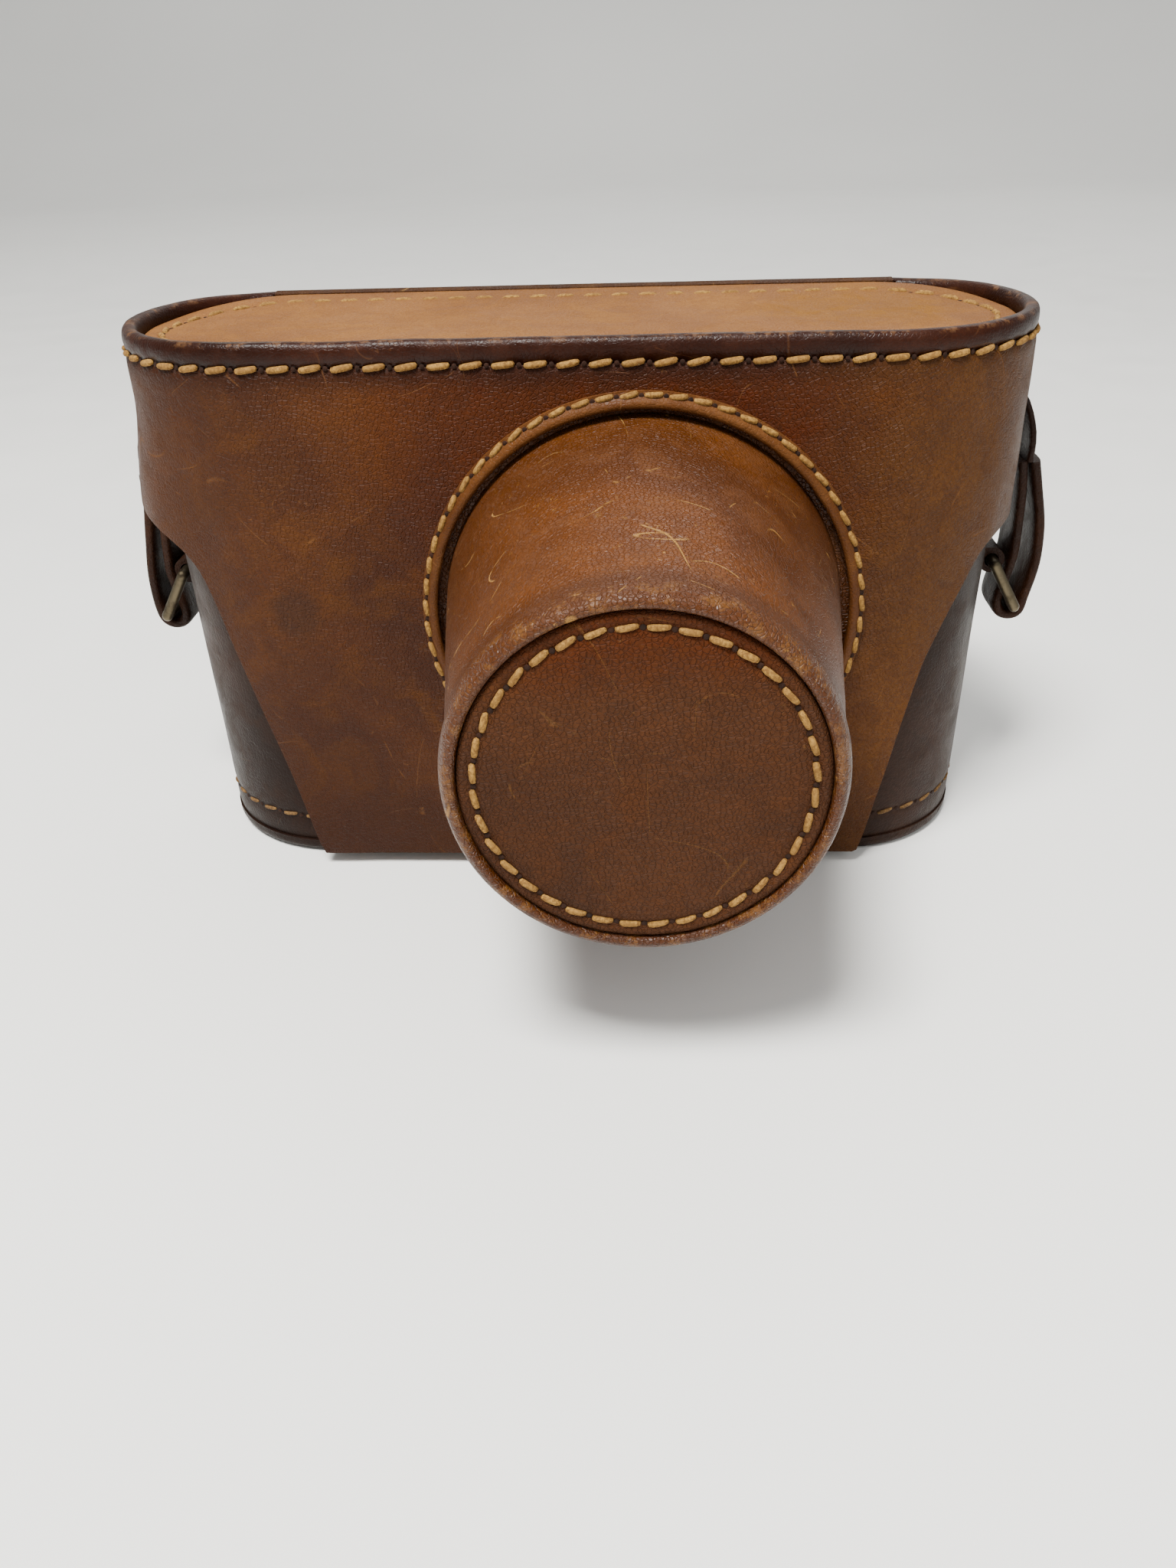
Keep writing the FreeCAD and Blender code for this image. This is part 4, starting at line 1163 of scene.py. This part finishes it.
# the folded length, standing on edge in passes to and fro behind the case
PASS_Y = [40.5, 49.0, 57.5, 66.0, 74.5]
PASS_X = (-50, -30, -10, 10, 30, 48)
passes = []
for k, yk in enumerate(PASS_Y):
    row = [(x, yk, STRAP_Z) for x in (reversed(PASS_X) if k % 2 else PASS_X)]
    passes += row
    if k < len(PASS_Y) - 1:
        way = -1 if k % 2 else 1
        passes += [(row[-1][0] + way * dx, yk + dy, STRAP_Z)
                   for dx, dy in ((4.5, 1.3), (6.2, 4.25), (4.5, 7.2))]
fine = curve_points(LEFT_RUN + passes + RIGHT_RUN[::-1], 4)
UPRIGHT_STATIONS = 10       # stations at each end where the strap faces sideways
path = []
for i, p in enumerate(fine):
    a, b = neighbours(fine, i)
    dx, dy = b[0] - a[0], b[1] - a[1]
    if i < UPRIGHT_STATIONS:
        dx, dy = 0.0, 1.0
    if i >= len(fine) - UPRIGHT_STATIONS:
        dx, dy = 0.0, -1.0
    m = math.hypot(dx, dy)
    path.append((p, (dy / m, -dx / m, 0)))
long_strap = strap("carrying_strap", path, STRAP_W, STRAP_T)
finish_piece(long_strap, STRAP_HIDE, "lower_case", ("neck_strap",), 50)

# ---- finishes of the pieces that keep their CAD shape -----------------------------------
FINISH = {
    OLD_BRASS: ("base_eyelet", "tab_rivet_left", "tab_rivet_right", "snap_stud", "snap_socket",
                "ring_left", "ring_right", "retaining_screw"),
    CASE_HIDE: ("lower_case_base",),
    STRAP_HIDE: ("strap_tab_left", "strap_tab_right"),
    VELVET: ("lower_case_lining", "cover_lining"),
    SATIN: ("camera_top_cover", "accessory_shoe", "lens_flange", "lens_barrel", "wind_knob",
            "rewind_knob", "release_button", "tripod_bush", "aperture_ring", "focus_ring",
            "shutter_housing", "film_sprocket"),
    ENAMEL: ("camera_body", "pressure_plate", "take_up_spool", "film_cassette", "lens_name_ring",
             "release_spring_cup"),
    STEEL: ("iris_blades", "flange_screws"),
    GRAINED: ("camera_leatherette",),
    CLEAR: ("viewfinder_windows", "lens_elements"),
    FILM: ("film_strip",),
}
for material, names in FINISH.items():
    for node in names:
        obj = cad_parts[node]
        for slot in obj.material_slots:
            slot.material = material

for spare in (STITCH, RING_STITCH, DISC_STITCH, FINE_STITCH, AWL_HOLE_SHADE):
    bpy.data.objects.remove(spare, do_unlink=True)

# ---- table, backdrop, light and camera -----------------------------------------------------
clear_selection()
bpy.ops.mesh.primitive_plane_add(size=6.0, location=(0, 0, 0))
table = begin("table")
pick(table, "v", lambda c: c.y > 0)
bpy.ops.mesh.select_mode(type="EDGE")
bpy.ops.transform.translate(value=(0, -1.0, 0))
bpy.ops.mesh.extrude_edges_move(TRANSFORM_OT_translate={"value": (0, 0, 3.0)})
stop_edit()
pick(table, "v", lambda c: abs(c.z) < 0.01 and c.y > 1.0)
bpy.ops.mesh.bevel(offset=0.7, segments=16, affect="EDGES")
stop_edit()
m, nt, shader, vec = start_material("Table top")
cloud = remap(nt, add_noise(nt, vec, 3.0, 2.0), 0.3, 0.7)
nt.links.new(blend_colour(nt, cloud, tone("f0efeb"), tone("f5f4f0")),
             shader.inputs["Base Color"])
sheen = remap(nt, add_noise(nt, vec, 30.0, 3.0), 0.3, 0.7, 0.30, 0.42)
nt.links.new(sheen, shader.inputs["Roughness"])
table.data.materials.append(m)
smooth(table, 60)

world = bpy.context.scene.world or bpy.data.worlds.new("World")
bpy.context.scene.world = world
world.use_nodes = True
sky = world.node_tree.nodes["Background"]
sky.inputs["Color"].default_value = (0.92, 0.93, 0.93, 1)
sky.inputs["Strength"].default_value = 0.54


def area(name, place, aim, size, power, colour=(1, 1, 1)):
    """Square studio lamp at a place, in metres, turned towards its aim."""
    data = bpy.data.lights.new(name, "AREA")
    data.size = size
    data.energy = power
    data.color = colour
    obj = bpy.data.objects.new(name, data)
    obj.location = place
    obj.rotation_euler = (Vector(aim) - Vector(place)).to_track_quat("-Z", "Y").to_euler()
    bpy.context.scene.collection.objects.link(obj)


OBJECT_MIDDLE = (0, -0.03, 0.05)
area("key", (-0.18, -0.38, 0.95), OBJECT_MIDDLE, 0.3, 26.0, (1.0, 0.99, 0.96))
area("fill", (0.35, -0.9, 0.8), OBJECT_MIDDLE, 0.9, 4.0)
area("back", (0.2, 1.0, 1.1), (0, 0.2, 0.0), 1.2, 6.0)

YAW, TILT, ROLL = -0.051, 0.537, 0.031      # in radians; the tilt is downward
CAMERA_PLACE, FOCAL_LENGTH = (0.0107, -0.2160, 0.1296), 27.93
forward = Vector((math.sin(YAW) * math.cos(TILT), math.cos(YAW) * math.cos(TILT),
                  -math.sin(TILT)))
level = Vector((math.cos(YAW), -math.sin(YAW), 0))
down = forward.cross(level)
right = level * math.cos(ROLL) + down * math.sin(ROLL)
drop = down * math.cos(ROLL) - level * math.sin(ROLL)
cam_data = bpy.data.cameras.new("view_camera")
cam_data.lens = FOCAL_LENGTH
cam_data.sensor_width = 36.0
cam_data.clip_start = 0.005
cam = bpy.data.objects.new("view_camera", cam_data)
turn = Matrix((right, -drop, -forward)).transposed().to_4x4()
turn.translation = Vector(CAMERA_PLACE)
cam.matrix_world = turn
bpy.context.scene.collection.objects.link(cam)
bpy.context.scene.camera = cam
